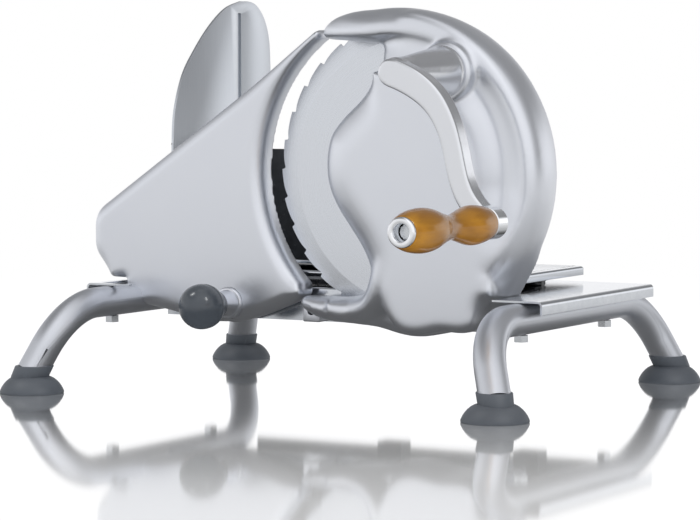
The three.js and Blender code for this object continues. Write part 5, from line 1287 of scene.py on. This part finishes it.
@dataclass
class Crank:
    """Crank arm with its hub, and the turned grip."""

    hub_seat: float = -66.3
    arm_front: float = -133.3
    thickness: float = 12.4
    grip_length: float = 99.5
    # Half the arm's width at the hub and at the eye, and the shares of its length between which it tapers
    half_root: float = 8.2
    half_tip: float = 6.2
    taper: tuple[float, float] = (0.15, 0.6)
    stations: Outline = field(default_factory=lambda: [
        (0, 0), (7, -2.6), (15.4, -6.7), (24, -12.9), (30.8, -20.8), (36.5, -31.5), (40.1, -42.8),
        (42.6, -54), (45.6, -64.5), (51, -74.5), (61.9, -85.9),
    ])

    def arm_outline(self) -> Outline:
        """Returns the outline of the S-shaped arm."""
        line = [(CRANK_AXIS[0] + x, CRANK_AXIS[1] + z) for x, z in spline(self.stations, 5)]
        left, right = [], []
        for i, (x, z) in enumerate(line):
            along = heading(line, i)
            share = smooth_step(i / (len(line) - 1), *self.taper)
            half = self.half_root + (self.half_tip - self.half_root) * share
            left.append((x - along.y * half, z + along.x * half))
            right.append((x + along.y * half, z - along.x * half))
        return [*left, *right[::-1]]

    def arm(self, finishes: Finishes) -> None:
        """Makes the arm, fused to its tapered hub and its eye."""
        back = self.arm_front + self.thickness
        place = on_axis(CRANK_AXIS)
        eye_place = on_axis(GRIP_AXIS)
        outline = resampled(self.arm_outline(), 2.0)
        work = Workpiece.loft("crank_arm_cast", rolled_rings(outline, back, self.arm_front, 1.3, 1.3, 5))
        front, seat, root = self.arm_front, self.hub_seat, self.half_root
        profile = [(0, front), (7, front), (root, front + 1.3), (root, back), (0, back)]
        cap = Workpiece.turned("cap", profile, place)
        hub = Workpiece.turned("hub", [
            (0, seat), (15.2, seat), (16, seat - 0.8), (16, seat - 2.2), (15.2, seat - 3.4), (12.4, -92),
            (9.6, -112), (9.0, back), (9, back - 6), (0, back - 6),
        ], place)
        work.join(cap, hub)
        work.melt(0.75, 7, lambda co: 0.25 if co.y > seat - 4 else 1.0)
        work.drill(6.2, seat + 2, back + 8, place, steps=48)
        work.drill(10.2, front - 2, back + 2, eye_place)
        eye = Workpiece.turned("grip_eye_turned", [
            (3.2, front), (8.6, front), (9.4, front + 0.8), (9.4, back - 0.8), (8.6, back), (3.2, back),
        ], eye_place, closed=True)
        work.finish("crank", finishes.arm, "cast_silver", ["crank_arm"], sharp=40)
        eye.finish("crank", finishes.bright, "polished_steel", sharp=30)

    def grip(self, finishes: Finishes) -> None:
        """Makes the wooden grip and its ferrule."""
        place = on_axis(GRIP_AXIS)
        start = self.arm_front - 0.3
        end = start - self.grip_length
        shape = spline([
            (9.6, 0), (10.9, 0.08), (11.3, 0.19), (8.4, 0.34), (7.0, 0.44), (8.8, 0.56), (11.9, 0.7),
            (12.6, 0.81), (11.4, 0.92), (9.2, 1),
        ], 6)
        wood = Workpiece.turned("grip_turned", [
            (3.4, start), (8.8, start), *((r, start - 0.9 - (self.grip_length - 1.5) * t) for r, t in shape),
            (8.7, end), (6.5, end), (6.5, end + 9), (3.4, end + 9),
        ], place, steps=72, closed=True)
        wood.finish("grip", finishes.wood, "amber_wood", ["grip_wood"], sharp=50)
        lip = end - 0.3
        ferrule = Workpiece.turned("grip_ferrule_turned", [
            (5.0, end + 8.6), (5.0, lip - 1.4), (5.6, lip - 2.0), (7.4, lip - 2.0), (8.2, lip - 1.6),
            (8.6, lip - 0.8), (8.6, lip), (6.2, lip), (6.2, end + 8.6),
        ], place, closed=True)
        ferrule.finish("grip", finishes.bright, "polished_steel", ["grip_ferrule"], sharp=50)

    def build(self, finishes: Finishes) -> None:
        """Models and dresses the crank."""
        self.arm(finishes)
        self.grip(finishes)


@dataclass
class Cutter:
    """Toothed blade with its cover disc and screws."""

    radius: float = 95.0
    teeth: int = 32
    depth: float = 2.4
    back: float = -19.5
    thickness: float = 1.5
    bevel_width: float = 12.0
    cover_radius: float = 56.0
    bore: float = 8.2
    screw_circle: float = 16.0

    def tooth_radii(self) -> list[tuple[float, float]]:
        """Returns (turn in degrees, radius) round the blade: a slow fall and a quick rise at each tooth."""
        pitch = 360 / self.teeth
        shape = [(0.0, 0.0), (0.14, 0.07), (0.28, 0.16), (0.42, 0.26), (0.56, 0.38), (0.7, 0.55),
                 (0.82, 0.78), (0.9, 0.97), (0.935, 1.0), (0.965, 0.8)]
        return [
            (pitch * (i + turn), self.radius - self.depth * fall)
            for i in range(self.teeth)
            for turn, fall in shape
        ]

    def blade(self, finishes: Finishes) -> None:
        """Makes the blade by extruding its edge inwards over the bevel and round to the back."""
        edge = self.tooth_radii()
        front = self.back - self.thickness
        inner = self.radius - self.bevel_width

        def ring(radius: float | None, level: float | None) -> list[Vector]:
            """Returns a ring at a radius or along the teeth, at a level or on the cone of the bevel."""
            made = []
            for turn, own in edge:
                reach = own if radius is None else radius
                x, z = on_blade(reach, turn)
                cone = front + (reach - inner) / self.bevel_width
                made.append(Vector((x, cone if level is None else level, z)))
            return made

        rings = [
            ring(None, self.back), ring(None, None), ring(88, None), ring(inner, front), ring(60, front),
            ring(self.bore, front), ring(self.bore, self.back), ring(60, self.back),
        ]
        work = Workpiece.loft("blade_ground", rings, filled=False)
        work.only()
        bpy.ops.object.mode_set(mode="EDIT")
        bpy.ops.mesh.select_mode(type="EDGE")
        bpy.ops.mesh.select_all(action="DESELECT")
        bpy.ops.mesh.select_non_manifold()
        bpy.ops.mesh.bridge_edge_loops()
        work.face_out()
        bpy.ops.object.mode_set(mode="OBJECT")
        work.finish("cutter", finishes.blade, "brushed_steel", ["blade"], sharp=3)

    def cover(self, finishes: Finishes) -> None:
        """Makes the cover disc with its screws."""
        place = on_axis(BLADE_AXIS)
        low = self.back + 0.3
        high = low + 1.5
        r = self.cover_radius
        disc = Workpiece.turned("cover_disc_pressed", [
            (0, high), (26, high), (27, high - 0.35), (28.4, high - 0.35), (29.4, high), (r - 1.4, high),
            (r - 0.5, high - 0.3), (r, high - 0.9), (r, low), (0, low),
        ], place, steps=96)
        for i in range(3):
            spot = on_axis(on_blade(self.screw_circle, i * 120))
            disc.cut(Workpiece.turned("sink", [
                (0, high + 1), (4.3, high + 1), (4.3, high - 0.3), (2.3, low + 0.1), (2.3, low - 1),
                (0, low - 1),
            ], spot, steps=32))
            head = Workpiece.turned(f"blade_screw_{i + 1}_slotted", [
                (0, high), (3.7, high), (4, high - 0.3), (2, high - 1.3), (2, -24.5), (0, -24.5),
            ], spot, steps=32)
            slot = Workpiece.block("slot", (-3.4, high - 0.55, -0.5), (3.4, high + 1, 0.5))
            slot.moved(Matrix.Translation(spot) @ Matrix.Rotation(0.5 + i, 4, "Y"))
            quarter = Matrix.Rotation(math.pi / 2, 4, "Y")
            cross = slot.copied("cross").moved(Matrix.Translation(spot) @ quarter @ Matrix.Translation(-spot))
            head.cut(slot, cross)
            head.finish("cutter", finishes.screws, "brushed_steel", [f"blade_screw_{i + 1}"])
        disc.finish("cutter", finishes.polished, "polished_steel", ["blade_cover_disc"], sharp=25)

    def build(self, finishes: Finishes) -> None:
        """Models and dresses the cutter."""
        self.blade(finishes)
        self.cover(finishes)


@dataclass
class Stand:
    """Sheet tray on two bent tubes with rubber feet."""

    half: float = 161.0
    top: float = 64.8
    sheet: float = 1.2
    front: float = -65.0
    rear: float = 100.0
    notch: tuple[float, float] = (-129.0, 128.0)
    flange: float = -18.7
    tube_radius: float = 9.6
    tube_top: float = 53.7
    splay_foot: tuple[float, float, float] = (161.0, 127.0, 13.0)
    splay_top: tuple[float, float] = (145.0, 110.0)
    bend: float = 44.0

    def tray(self, finishes: Finishes) -> None:
        """Makes the tray by extruding its bent section, then adds the flanges and cuts the notch."""
        t, r = self.sheet, 3.0
        outer = rounded([(-self.half, self.top - 8, 0), (-self.half, self.top, r), (self.half, self.top, r),
                         (self.half, self.top - 8, 0)], closed=False)
        inner = rounded([(self.half - t, self.top - 8, 0), (self.half - t, self.top - t, r - t),
                         (-self.half + t, self.top - t, r - t), (-self.half + t, self.top - 8, 0)],
                        closed=False)
        work = Workpiece.prism("tray_pressed", [*outer, *inner], (self.front, self.rear))
        low, high = self.notch
        work.cut(Workpiece.block("notch", (low, self.front - 5, 40), (high, self.flange + 3.4, 80)))
        work.cut(Workpiece.block("plate_slot", (-152.0, self.front + 4, 40),
                                 (low + 2, self.flange + 3.4, 80)))
        work.weld(self.flange_strip(low, high, self.flange, 42.6, 1.0, r))
        work.weld(self.flange_strip(-131.4, 131.4, self.rear, 50.8, -1.0, r))
        for x in (-2.0, 96.0):
            slot = Workpiece.block("slot", (x - 9, 52.5, 60), (x + 9, 57.5, 70))
            work.cut(slot.round_along(Axis.Z, 1, 2.4, 4))
        work.soften(0.3, 2, 50)
        work.finish("base", finishes.polished, "brushed_steel", ["base_tray"], sharp=35)

    def flange_strip(
        self, low: float, high: float, face: float, bottom: float, side: float, r: float
    ) -> Workpiece:
        """Returns a bent strip that turns down from the tray.

        Args:
            low: Lowest X of the strip.
            high: Highest X of the strip.
            face: Y of the strip's outer face.
            bottom: Z of its lower edge.
            side: 1 when the tray lies toward positive Y of the face, -1 when toward negative Y.
            r: Outer radius of the bend.

        Returns:
            The strip, which overlaps the tray a little.
        """
        t = self.sheet
        outer = rounded([(face, bottom, 0), (face, self.top, r), (face + side * 6, self.top, 0)],
                        closed=False)
        inner = rounded([(face + side * 6, self.top - t, 0), (face + side * t, self.top - t, r - t),
                         (face + side * t, bottom, 0)], closed=False)
        return Workpiece.prism("strip", [*outer, *inner], (low, high), Axis.X)

    def tube_path(self, side: float) -> list[Vector]:
        """Returns the middle line of one leg tube, from the front foot to the rear foot."""
        fx, fy, fz = self.splay_foot
        tx, ty = self.splay_top
        foot, rise = Vector((side * fx, -fy, fz)), Vector((side * tx, -ty, self.tube_top))
        along = (foot - rise).normalized()
        level = Vector((0.0, 1.0, 0.0))
        half = math.acos(max(-1.0, min(1.0, along.dot(level)))) / 2
        reach = min(self.bend / math.tan(half), (foot - rise).length * 0.94)
        radius = reach * math.tan(half)
        centre = rise + (along + level).normalized() * (radius / math.sin(half))
        start, end = rise + along * reach, rise + level * reach
        a, b = start - centre, end - centre
        turn = a.angle(b)
        normal = a.cross(b).normalized()
        path = [foot, *(centre + Quaternion(normal, turn * k / 24) @ a for k in range(25))]
        straight = [Vector((side * tx, y, self.tube_top)) for y in (-40.0, 0.0)]
        half_path = [*path, straight[0]]
        mirrored = [Vector((p.x, -p.y, p.z)) for p in reversed(half_path)]
        return [*half_path, straight[1], *mirrored]

    def tube(self, side: float, name: str, finishes: Finishes) -> None:
        """Makes one bent tube."""
        path = self.tube_path(side)
        work = Workpiece.swept(f"{name}_bent", path, self.tube_radius, 44)
        for y in (-60.0, 60.0):
            work.drill(2.8, 30, 80, Vector((side * self.splay_top[0], y, 0)), Axis.Z, 24)
        work.finish("base", finishes.tube, "cast_silver", [name], sharp=50)

    def foot(self, side: float, end: float, name: str, finishes: Finishes) -> None:
        """Makes one rubber foot: a neck on the tube and a skirt on the table."""
        fx, fy, fz = self.splay_foot
        tx, ty = self.splay_top
        centre = Vector((side * fx, end * fy, 0))
        skirt = Workpiece.turned("skirt", [
            (0, 2.5), (13, 2.5), (15, 0), (19.6, 0), (20, 0.4), (20, 1.2), (19.6, 2.2), (18.8, 3.8),
            (17.6, 5.6), (16, 7.4), (14.2, 8.9), (12.4, 9.9), (11, 10.4), (0, 10.4),
        ], centre, Axis.Z, 72)
        lean = Vector((side * (tx - fx), end * (ty - fy), 0)) / (self.tube_top - fz)
        slope = math.hypot(1.0, lean.length)
        rings = []
        for level, spread in ((6.0, 0.2), (9.2, 0.5), (10.2, 0.8), (16.6, 1.1), (17.0, 0.9), (17.0, 0.2)):
            middle = Vector((side * fx, end * fy, level)) + lean * (level - fz) * 0.8
            ring = []
            for k in range(72):
                way = Vector((math.cos(k / 36 * math.pi), math.sin(k / 36 * math.pi), 0))
                share = abs(way.dot(lean.normalized()))
                ring.append(middle + way * (self.tube_radius * (1 + (slope - 1) * share * share) + spread))
            rings.append(ring)
        skirt.weld(Workpiece.loft("neck", rings))
        skirt.obj.name = f"{name}_moulded"
        skirt.finish("base", finishes.rubber, "grey_rubber", [name], sharp=35)

    def build(self, finishes: Finishes) -> None:
        """Models and dresses the stand."""
        self.tray(finishes)
        for side, word in ((-1.0, "left"), (1.0, "right")):
            self.tube(side, f"leg_tube_{word}", finishes)
            for end, place in ((-1.0, "front"), (1.0, "rear")):
                self.foot(side, end, f"foot_{word}_{place}", finishes)


@dataclass
class Carriage:
    """Sliding food table with its rail and the upright pusher plate."""

    table_top: float = 74.5
    table_low: float = 69.0
    left: float = -125.0
    right: float = 112.0
    front: float = -17.5
    rear: float = 105.0
    sheet: float = 1.5
    plate_x: float = -126.8
    plate_low: float = 72.7
    plate_top: float = 246.0
    near: float = -17.2
    far: float = 107.0
    plate_sheet: float = 1.5
    bead_y: float = 66.0

    def table(self, finishes: Finishes) -> None:
        """Makes the table: a sheet with rounded corners and edges turned down on three sides."""
        corners = [(self.left, self.front, 0), (self.right, self.front, 4), (self.right, self.rear, 6),
                   (self.left, self.rear, 6)]
        outline = rounded(corners, 8)
        r = 1.6
        steps = [(0.0, self.table_low), (0.0, self.table_top - r)]
        for a in (0.35, 0.7, 1.05, 1.4, math.pi / 2):
            steps.append((r * (1 - math.cos(a)), self.table_top - r * (1 - math.sin(a))))
        middle = Vector(((self.left + self.right) / 2, (self.front + self.rear) / 2))
        halves = Vector(((self.right - self.left) / 2, (self.rear - self.front) / 2))

        def ring(inset: float, level: float) -> list[Vector]:
            """Returns the outline moved in by an inset."""
            made = []
            for x, y in outline:
                px = middle.x + (x - middle.x) * (halves.x - inset) / halves.x
                py = middle.y + (y - middle.y) * (halves.y - inset) / halves.y
                made.append(Vector((px, py, level)))
            return made

        work = Workpiece.loft("food_table_pressed", [ring(inset, level) for inset, level in steps])
        t = self.sheet
        work.cut(Workpiece.block("hollow", (self.left - 1, self.front + t, self.table_low - 2),
                                 (self.right - t, self.rear - t, self.table_top - t)))
        self.punch(work, 70)
        work.soften(0.25, 2, 50)
        work.finish("carriage", finishes.polished, "polished_steel", ["food_table"], sharp=35)

    @staticmethod
    def punch(work: Workpiece, start: float) -> None:
        """Drills the holes for the two rivets from a level up to above the table."""
        for node in ("table_rivet_1", "table_rivet_2"):
            low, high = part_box(node)
            x, y = ((a + b) / 2 / MM for a, b in zip(low[:2], high[:2], strict=True))
            work.drill(2.3, start, 76, Vector((x, y - FRAME_SHIFT_Y, 0)), Axis.Z, 24)

    def rail(self, finishes: Finishes) -> None:
        """Makes the moulded slide rail with rounded ends and a row of ribs."""
        work = Workpiece.block("slide_rail_moulded", (-107, 48, 65.1), (105, 62, 72.7))
        work.round_along(Axis.Z, 5, 5, 6)
        work.cut(Workpiece.block("channel", (-108, 50, 67.1), (106, 60, 71.5)))
        work.cut(Workpiece.block("slit", (-108, 52.3, 64), (106, 57.7, 68.2)))
        for x in range(-96, 96, 8):
            work.cut(Workpiece.block("groove", (x, 46, 65.0), (x + 1.4, 49, 71.2)))
        self.punch(work, 60)
        work.soften(0.5, 2, 50)
        work.finish("carriage", finishes.black, "black_plastic", ["table_rail"], sharp=35)

    def plate_outline(self) -> Outline:
        """Returns the outline of the upright plate in Y and Z."""
        near = [
            (0, 0.618), (0.018, 0.707), (0.098, 0.801), (0.227, 0.872), (0.377, 0.935), (0.531, 0.98),
            (0.686, 1),
        ]
        far = [(0.686, 1), (0.783, 0.999), (0.863, 0.986), (0.94, 0.949), (0.986, 0.894), (1, 0.813)]
        width = self.far - self.near
        curve = [*spline(near, 8)[:-1], *spline(far, 8)]
        top = [(self.near + width * share, self.plate_top * rise) for share, rise in curve]
        return [*top, (self.far, self.plate_low), (self.near, self.plate_low)]

    def pusher(self, finishes: Finishes) -> None:
        """Makes the pusher plate: a sheet with a pressed bead, a slot and a bent foot."""
        outline = resampled(thinned(self.plate_outline(), 0.8), 4.0)
        t = self.plate_sheet
        x = self.plate_x
        work = Workpiece.prism("pusher_plate_pressed", outline, (x, x + t), Axis.X)
        slot = Workpiece.block("slot", (x - 5, 2, 94.7), (x + 6, 94, 101.3))
        work.cut(slot.round_along(Axis.X, 5, 3.2, 6))
        half = [(x + t, 4.0), (x + 0.1, 4.0), (x - 0.8, 3.1), (x - 1.9, 1.9), (x - 2.4, 0.6)]
        section = [*((px, -py) for px, py in half), *half[::-1]]
        levels = ((111, 0.4, 0.35), (113, 0.75, 0.8), (116, 1, 1), (239.4, 1, 1), (241.5, 0.75, 0.85),
                  (242.6, 0.4, 0.5))
        root, y = x + t - 0.2, self.bead_y
        work.weld(Workpiece.loft("bead", [
            [Vector((root + (px - root) * rise, y + py * wide, z)) for px, py in section]
            for z, rise, wide in levels
        ]))
        groove = Workpiece.block("groove", (x + t - 2.6, y - 2.2, 117), (x + t + 2, y + 2.2, 238))
        work.cut(groove.soften(1.0, 3))
        foot_outer = rounded([(x, 80, 0), (x, 71.2, 2.6), (x + 17.8, 71.2, 0)], closed=False)
        foot_inner = rounded([(x + 17.8, 72.7, 0), (x + t, 72.7, 1.1), (x + t, 80, 0)], closed=False)
        work.weld(Workpiece.prism("foot", [*foot_outer, *foot_inner], (-11.5, 99.0)))
        self.punch(work, 60)
        work.soften(0.25, 2, 50)
        work.finish("carriage", finishes.pusher, "brushed_steel", ["pusher_plate"], sharp=35)

    def build(self, finishes: Finishes) -> None:
        """Models and dresses the carriage."""
        self.table(finishes)
        self.rail(finishes)
        self.pusher(finishes)


@dataclass
class FoodHolder:
    """Holder that slides along the slot of the pusher plate."""

    left: float = -124.7
    right: float = -20.7
    front: float = 58.0
    low: float = 75.1
    high: float = 148.1
    bolt_y: float = 71.0
    bolt_z: float = 98.0
    lobes: int = 8

    def plate(self, finishes: Finishes) -> None:
        """Makes the moulded plate with its grip bar, its foot and rows of small teeth."""
        corners = [(self.left, self.low, 0.8), (self.right, self.low, 4), (self.right, self.high, 14),
                   (self.left, self.high, 0.8)]
        outline = resampled(rounded(corners), 3.0)
        work = Workpiece.prism("food_holder_moulded", outline, (self.front + 4, self.front + 0.8))
        left, front, high = self.left, self.front, self.high
        grip = Workpiece.block("grip", (left + 2, front + 1, high - 10), (-28.7, 65, high - 3)).soften(1.6, 4)
        foot = Workpiece.block("foot", (left, front + 1, self.low), (left + 4, 82, 119.1)).soften(0.8, 3)
        work.weld(grip, foot)
        cone = [(0, front), (1.5, front + 1.2), (0, front + 1.2)]
        for column in range(11):
            for row in range(5):
                place = Vector((left + 14 + column * 8, 0, self.low + 9 + row * 10))
                work.join(Workpiece.turned("spike", cone, place, steps=8))
        work.drill(3.2, self.left - 2, self.left + 6, Vector((0, self.bolt_y, self.bolt_z)), Axis.X, 32)
        work.finish("holder", finishes.black, "black_plastic", ["food_holder"], sharp=35)

    def knob(self, finishes: Finishes) -> None:
        """Makes the lobed knob that clamps the holder."""
        x = self.left - 2.4
        place = Vector((0, self.bolt_y, self.bolt_z))
        work = Workpiece.turned("holder_knob_moulded", [
            (3.1, x), (6, x), (6, x - 3.6), (8, x - 4.4), (10.4, x - 5.6), (11, x - 7), (11, x - 11.6),
            (10.6, x - 13), (9.4, x - 14.6), (7.6, x - 15.6), (4, x - 16), (0, x - 16), (0, x - 6),
            (3.1, x - 6),
        ], place, Axis.X, 72)
        for i in range(self.lobes):
            spot = Vector((0, *polar((self.bolt_y, self.bolt_z), 12.6, i * 360 / self.lobes)))
            work.drill(2.8, x - 18, x - 4, spot, Axis.X, 24)
        work.soften(0.4, 2, 40)
        work.finish("holder", finishes.black, "black_plastic", ["holder_knob"], sharp=35)

    def build(self, finishes: Finishes) -> None:
        """Models and dresses the holder."""
        self.plate(finishes)
        self.knob(finishes)


@dataclass
class KeptPieces:
    """CAD nodes whose shape is right and that only get a finish."""

    gears: tuple[str, ...] = ("blade_gear", "idler_gear", "crank_gear")
    turned: tuple[str, ...] = ("blade_spindle", "crank_shaft", "idler_pin", "grip_pin", "holder_bolt")
    bushes: tuple[str, ...] = ("spindle_bush_front", "spindle_bush_rear", "crank_bush")
    screws: tuple[str, ...] = (
        "gear_cover_screw_1", "gear_cover_screw_2", "gear_cover_screw_3", "gear_cover_screw_4",
        "gear_cover_screw_5", "housing_screw_1", "housing_screw_2", "guide_screw_1", "guide_screw_2",
        "table_rivet_1", "table_rivet_2", "leg_nut_left_front", "leg_nut_left_rear", "leg_nut_right_front",
        "leg_nut_right_rear",
    )
    blocks: tuple[str, ...] = ("guide_block_1", "guide_block_2", "gauge_guide")

    @staticmethod
    def dress(names: Iterable[str], material: bpy.types.Material) -> None:
        """Gives CAD nodes a material."""
        for name in names:
            obj = bpy.data.objects[name]
            for slot in obj.material_slots:
                slot.material = material
            if not obj.material_slots:
                obj.data.materials.append(material)
            log.info("%s: kept", name)

    def build(self, finishes: Finishes) -> None:
        """Dresses every kept node."""
        self.dress(self.gears, finishes.gears)
        self.dress(self.turned, finishes.screws)
        self.dress(self.bushes, finishes.bronze)
        self.dress(self.screws, finishes.screws)
        self.dress(self.blocks, finishes.black)


@dataclass
class Studio:
    """Camera, floor, lamps and surroundings."""

    # Bands of panels: start and end of the blend in degrees of height, then (direction in degrees, light)
    panels: ClassVar[tuple[tuple[float, float, tuple[tuple[float, float], ...]], ...]] = (
        (-90, -89, ((-180, 0.7), (-164, 1.08), (-136, 1.08), (-110, 0.95), (-88, 1.05), (-70, 1.1),
                    (-50, 1.05), (-30, 0.93), (-14, 0.95), (5, 1.1), (50, 1.12), (92, 1.05), (104, 0.75),
                    (118, 0.42), (132, 0.24), (139, 0.26), (144.5, 1.25), (160, 1.3), (170, 0.9),
                    (180, 0.7))),
        (10, 18, ((-180, 0.4), (-158, 0.33), (-120, 0.4), (-100, 0.6), (-88, 0.72), (-70, 0.82), (-50, 1.0),
                  (-30, 0.9), (-14, 1.0), (5, 1.12), (60, 1.12), (92, 1.08), (106, 0.75), (122, 0.42),
                  (136, 0.28), (180, 0.3))),
        (28, 42, ((-180, 0.3), (-150, 0.27), (-45, 0.27), (-32, 0.38), (-18, 0.6), (-5, 0.95), (10, 1.25),
                  (48, 1.25), (70, 0.95), (92, 1.05), (110, 0.75), (130, 0.45), (150, 0.33), (180, 0.3))),
        (68, 80, ((-180, 0.9), (180, 0.9))),
    )
    # Where the floor starts and ends to turn into white, and the direction toward the camera, in metres
    floor_fade: tuple[float, float] = (0.5, 1.1)
    floor_ahead: tuple[float, float] = (0.491, -0.871)
    # Start and end of the change in polish toward the camera, and the polish at both
    floor_polish: tuple[float, float, float, float] = (0.05, 0.56, 0.95, 0.5)
    floor_grey: float = 0.86
    floor_glow: float = 0.5
    floor_shade: float = 0.3
    floor_blur: float = 0.06
    # What metal mirrors of the floor: a painted shadow, dark under the object, as (distance in tens of half
    # footprints, light)
    footprint: tuple[float, float] = (0.175, 0.15)
    floor_under: ClassVar[Outline] = [(0.08, 0.05), (0.11, 0.12), (0.145, 0.5), (0.24, 0.66), (0.6, 0.9)]
    # Light of the surroundings for the object, and of the panels for what mirrors them
    soft_light: float = 0.6
    panel_light: float = 2.0
    camera_place: tuple[float, float, float] = (0.9490, -1.6793, 0.2114)
    target: tuple[float, float, float] = (-0.00441, 0.0442, 0.0806)
    lens: float = 160.2
    lamp_size: tuple[float, float] = (0.1, 0.4)
    lamp_watts: float = 4.0
    lamp_distance: float = 1.6
    lamp_target: tuple[float, float, float] = (0.0, 0.0, 0.12)

    @staticmethod
    def aimed(data: bpy.types.Camera | bpy.types.Light, place: Vector, target: Vector) -> bpy.types.Object:
        """Places a camera or a lamp that looks at a target."""
        obj = bpy.data.objects.new(data.name, data)
        bpy.context.collection.objects.link(obj)
        obj.location = place
        obj.rotation_euler = (target - place).to_track_quat("-Z", "Y").to_euler()
        return obj

    def camera(self) -> None:
        """Places the camera."""
        data = bpy.data.cameras.new("camera")
        data.lens = self.lens
        data.sensor_width = 36.0
        data.clip_end = 50.0
        bpy.context.scene.camera = self.aimed(data, Vector(self.camera_place), Vector(self.target))

    def lamp(self, name: str, way: tuple[float, float, float]) -> None:
        """Hangs one soft box that points at the object from a direction."""
        data = bpy.data.lights.new(name, "AREA")
        data.shape = "RECTANGLE"
        data.size, data.size_y = self.lamp_size
        data.energy = self.lamp_watts
        aim = Vector(self.lamp_target)
        obj = self.aimed(data, aim + Vector(way).normalized() * self.lamp_distance, aim)
        obj.light_linking.receiver_collection = self.varnished()

    @staticmethod
    def varnished() -> bpy.types.Collection:
        """Returns the collection of the pieces that the soft boxes light."""
        name = "varnished"
        return bpy.data.collections.get(name) or bpy.data.collections.new(name)

    def world(self) -> None:
        """Makes the surroundings: white for the camera, soft for the light, panels for what metal mirrors."""
        world = bpy.data.worlds.new("studio")
        bpy.context.scene.world = world
        world.use_nodes = True
        board = Board(world.node_tree)
        x, y, z = board.parts(board.node("ShaderNodeTexCoord").outputs["Generated"])
        turn = board.math("ARCTAN2", x, board.math("MULTIPLY", y, -1.0))
        around = board.between(turn, -math.pi, math.pi)
        panels = None
        for start, end, stops in self.panels:
            band = board.ramp(around, [((a + 180) / 360, v / 2) for a, v in stops], blue=1.01)
            if panels is None:
                panels = band
                continue
            low, high = (math.sin(math.radians(e)) for e in (start, end))
            panels = board.mix(board.step(z, low, high, 0.0, 1.0), panels, band)
        rays = board.node("ShaderNodeLightPath").outputs
        seen = board.math("MAXIMUM", rays["Is Glossy Ray"], rays["Is Transmission Ray"])
        soft = board.light("Background", self.soft_light)
        first = board.blend(seen, soft, board.light("Background", self.panel_light, panels))
        last = board.blend(rays["Is Camera Ray"], first, board.light("Background", 1.0))
        board.node("ShaderNodeOutputWorld", {"Surface": last})

    def floor(self) -> None:
        """Lays the pale polished floor; toward the distance it turns into plain white."""
        Workpiece.clear()
        bpy.ops.mesh.primitive_plane_add(size=12.0, location=(0.0, 0.0, 0.0))
        obj = bpy.context.object
        obj.name = "floor"
        material = bpy.data.materials.new("pale_floor")
        material.use_nodes = True
        board = Board(material.node_tree)
        x, y, _ = board.parts(board.node("ShaderNodeTexCoord").outputs["Object"])
        near = board.step(board.length(x, y), *self.floor_fade, 1.0, 0.0)
        rays = board.node("ShaderNodeLightPath").outputs
        white = board.light("Emission", 1.0)
        matt = board.node("ShaderNodeBsdfDiffuse", {"Color": (*(self.floor_grey,) * 3, 1.0)})
        glow = board.light("Emission", self.floor_glow)
        plain = board.node("ShaderNodeAddShader", {0: matt.outputs[0], 1: glow}).outputs[0]
        shiny = board.node("ShaderNodeBsdfGlossy", {"Color": WHITE, "Roughness": self.floor_blur})
        lit = board.blend(board.math("MULTIPLY", near, self.floor_shade), white, plain)
        ahead_x, ahead_y = self.floor_ahead
        nearer = board.math("ADD", board.math("MULTIPLY", x, ahead_x), board.math("MULTIPLY", y, ahead_y))
        polish = board.math("MULTIPLY", near, board.step(nearer, *self.floor_polish))
        front = board.blend(polish, lit, shiny.outputs[0])
        half_x, half_y = self.footprint
        across = board.math("MULTIPLY", board.math("ABSOLUTE", x), 1 / half_x)
        along = board.math("MULTIPLY", board.math("ABSOLUTE", y), 1 / half_y)
        beside = board.math("MAXIMUM", across, along)
        # Glossy rays see the floor glow dark under the object: a painted shadow for metal to mirror
        mirrored = board.light("Emission", board.ramp(board.math("MULTIPLY", beside, 0.1), self.floor_under))
        first = board.blend(rays["Is Glossy Ray"], plain, mirrored)
        last = board.blend(rays["Is Camera Ray"], first, front)
        board.node("ShaderNodeOutputMaterial", {"Surface": last})
        obj.data.materials.append(material)

    def build(self) -> None:
        """Sets up the studio."""
        self.camera()
        self.world()
        self.floor()
        self.lamp("softbox_left", (-0.49, -0.35, 0.8))
        self.lamp("softbox_right", (0.683, -0.353, 0.68))
        bpy.context.scene.view_settings.view_transform = "Standard"


def main() -> None:
    """Builds the slicer and its studio."""
    logging.basicConfig(level=logging.INFO, format="%(message)s")
    Studio().build()
    finishes = Finishes.made()
    for assembly in (Stand(), Casting(), Cutter(), Gauge(), Crank(), Carriage(), FoodHolder(), KeptPieces()):
        log.info("%s", type(assembly).__doc__)
        assembly.build(finishes)


if __name__ == "__main__":
    main()
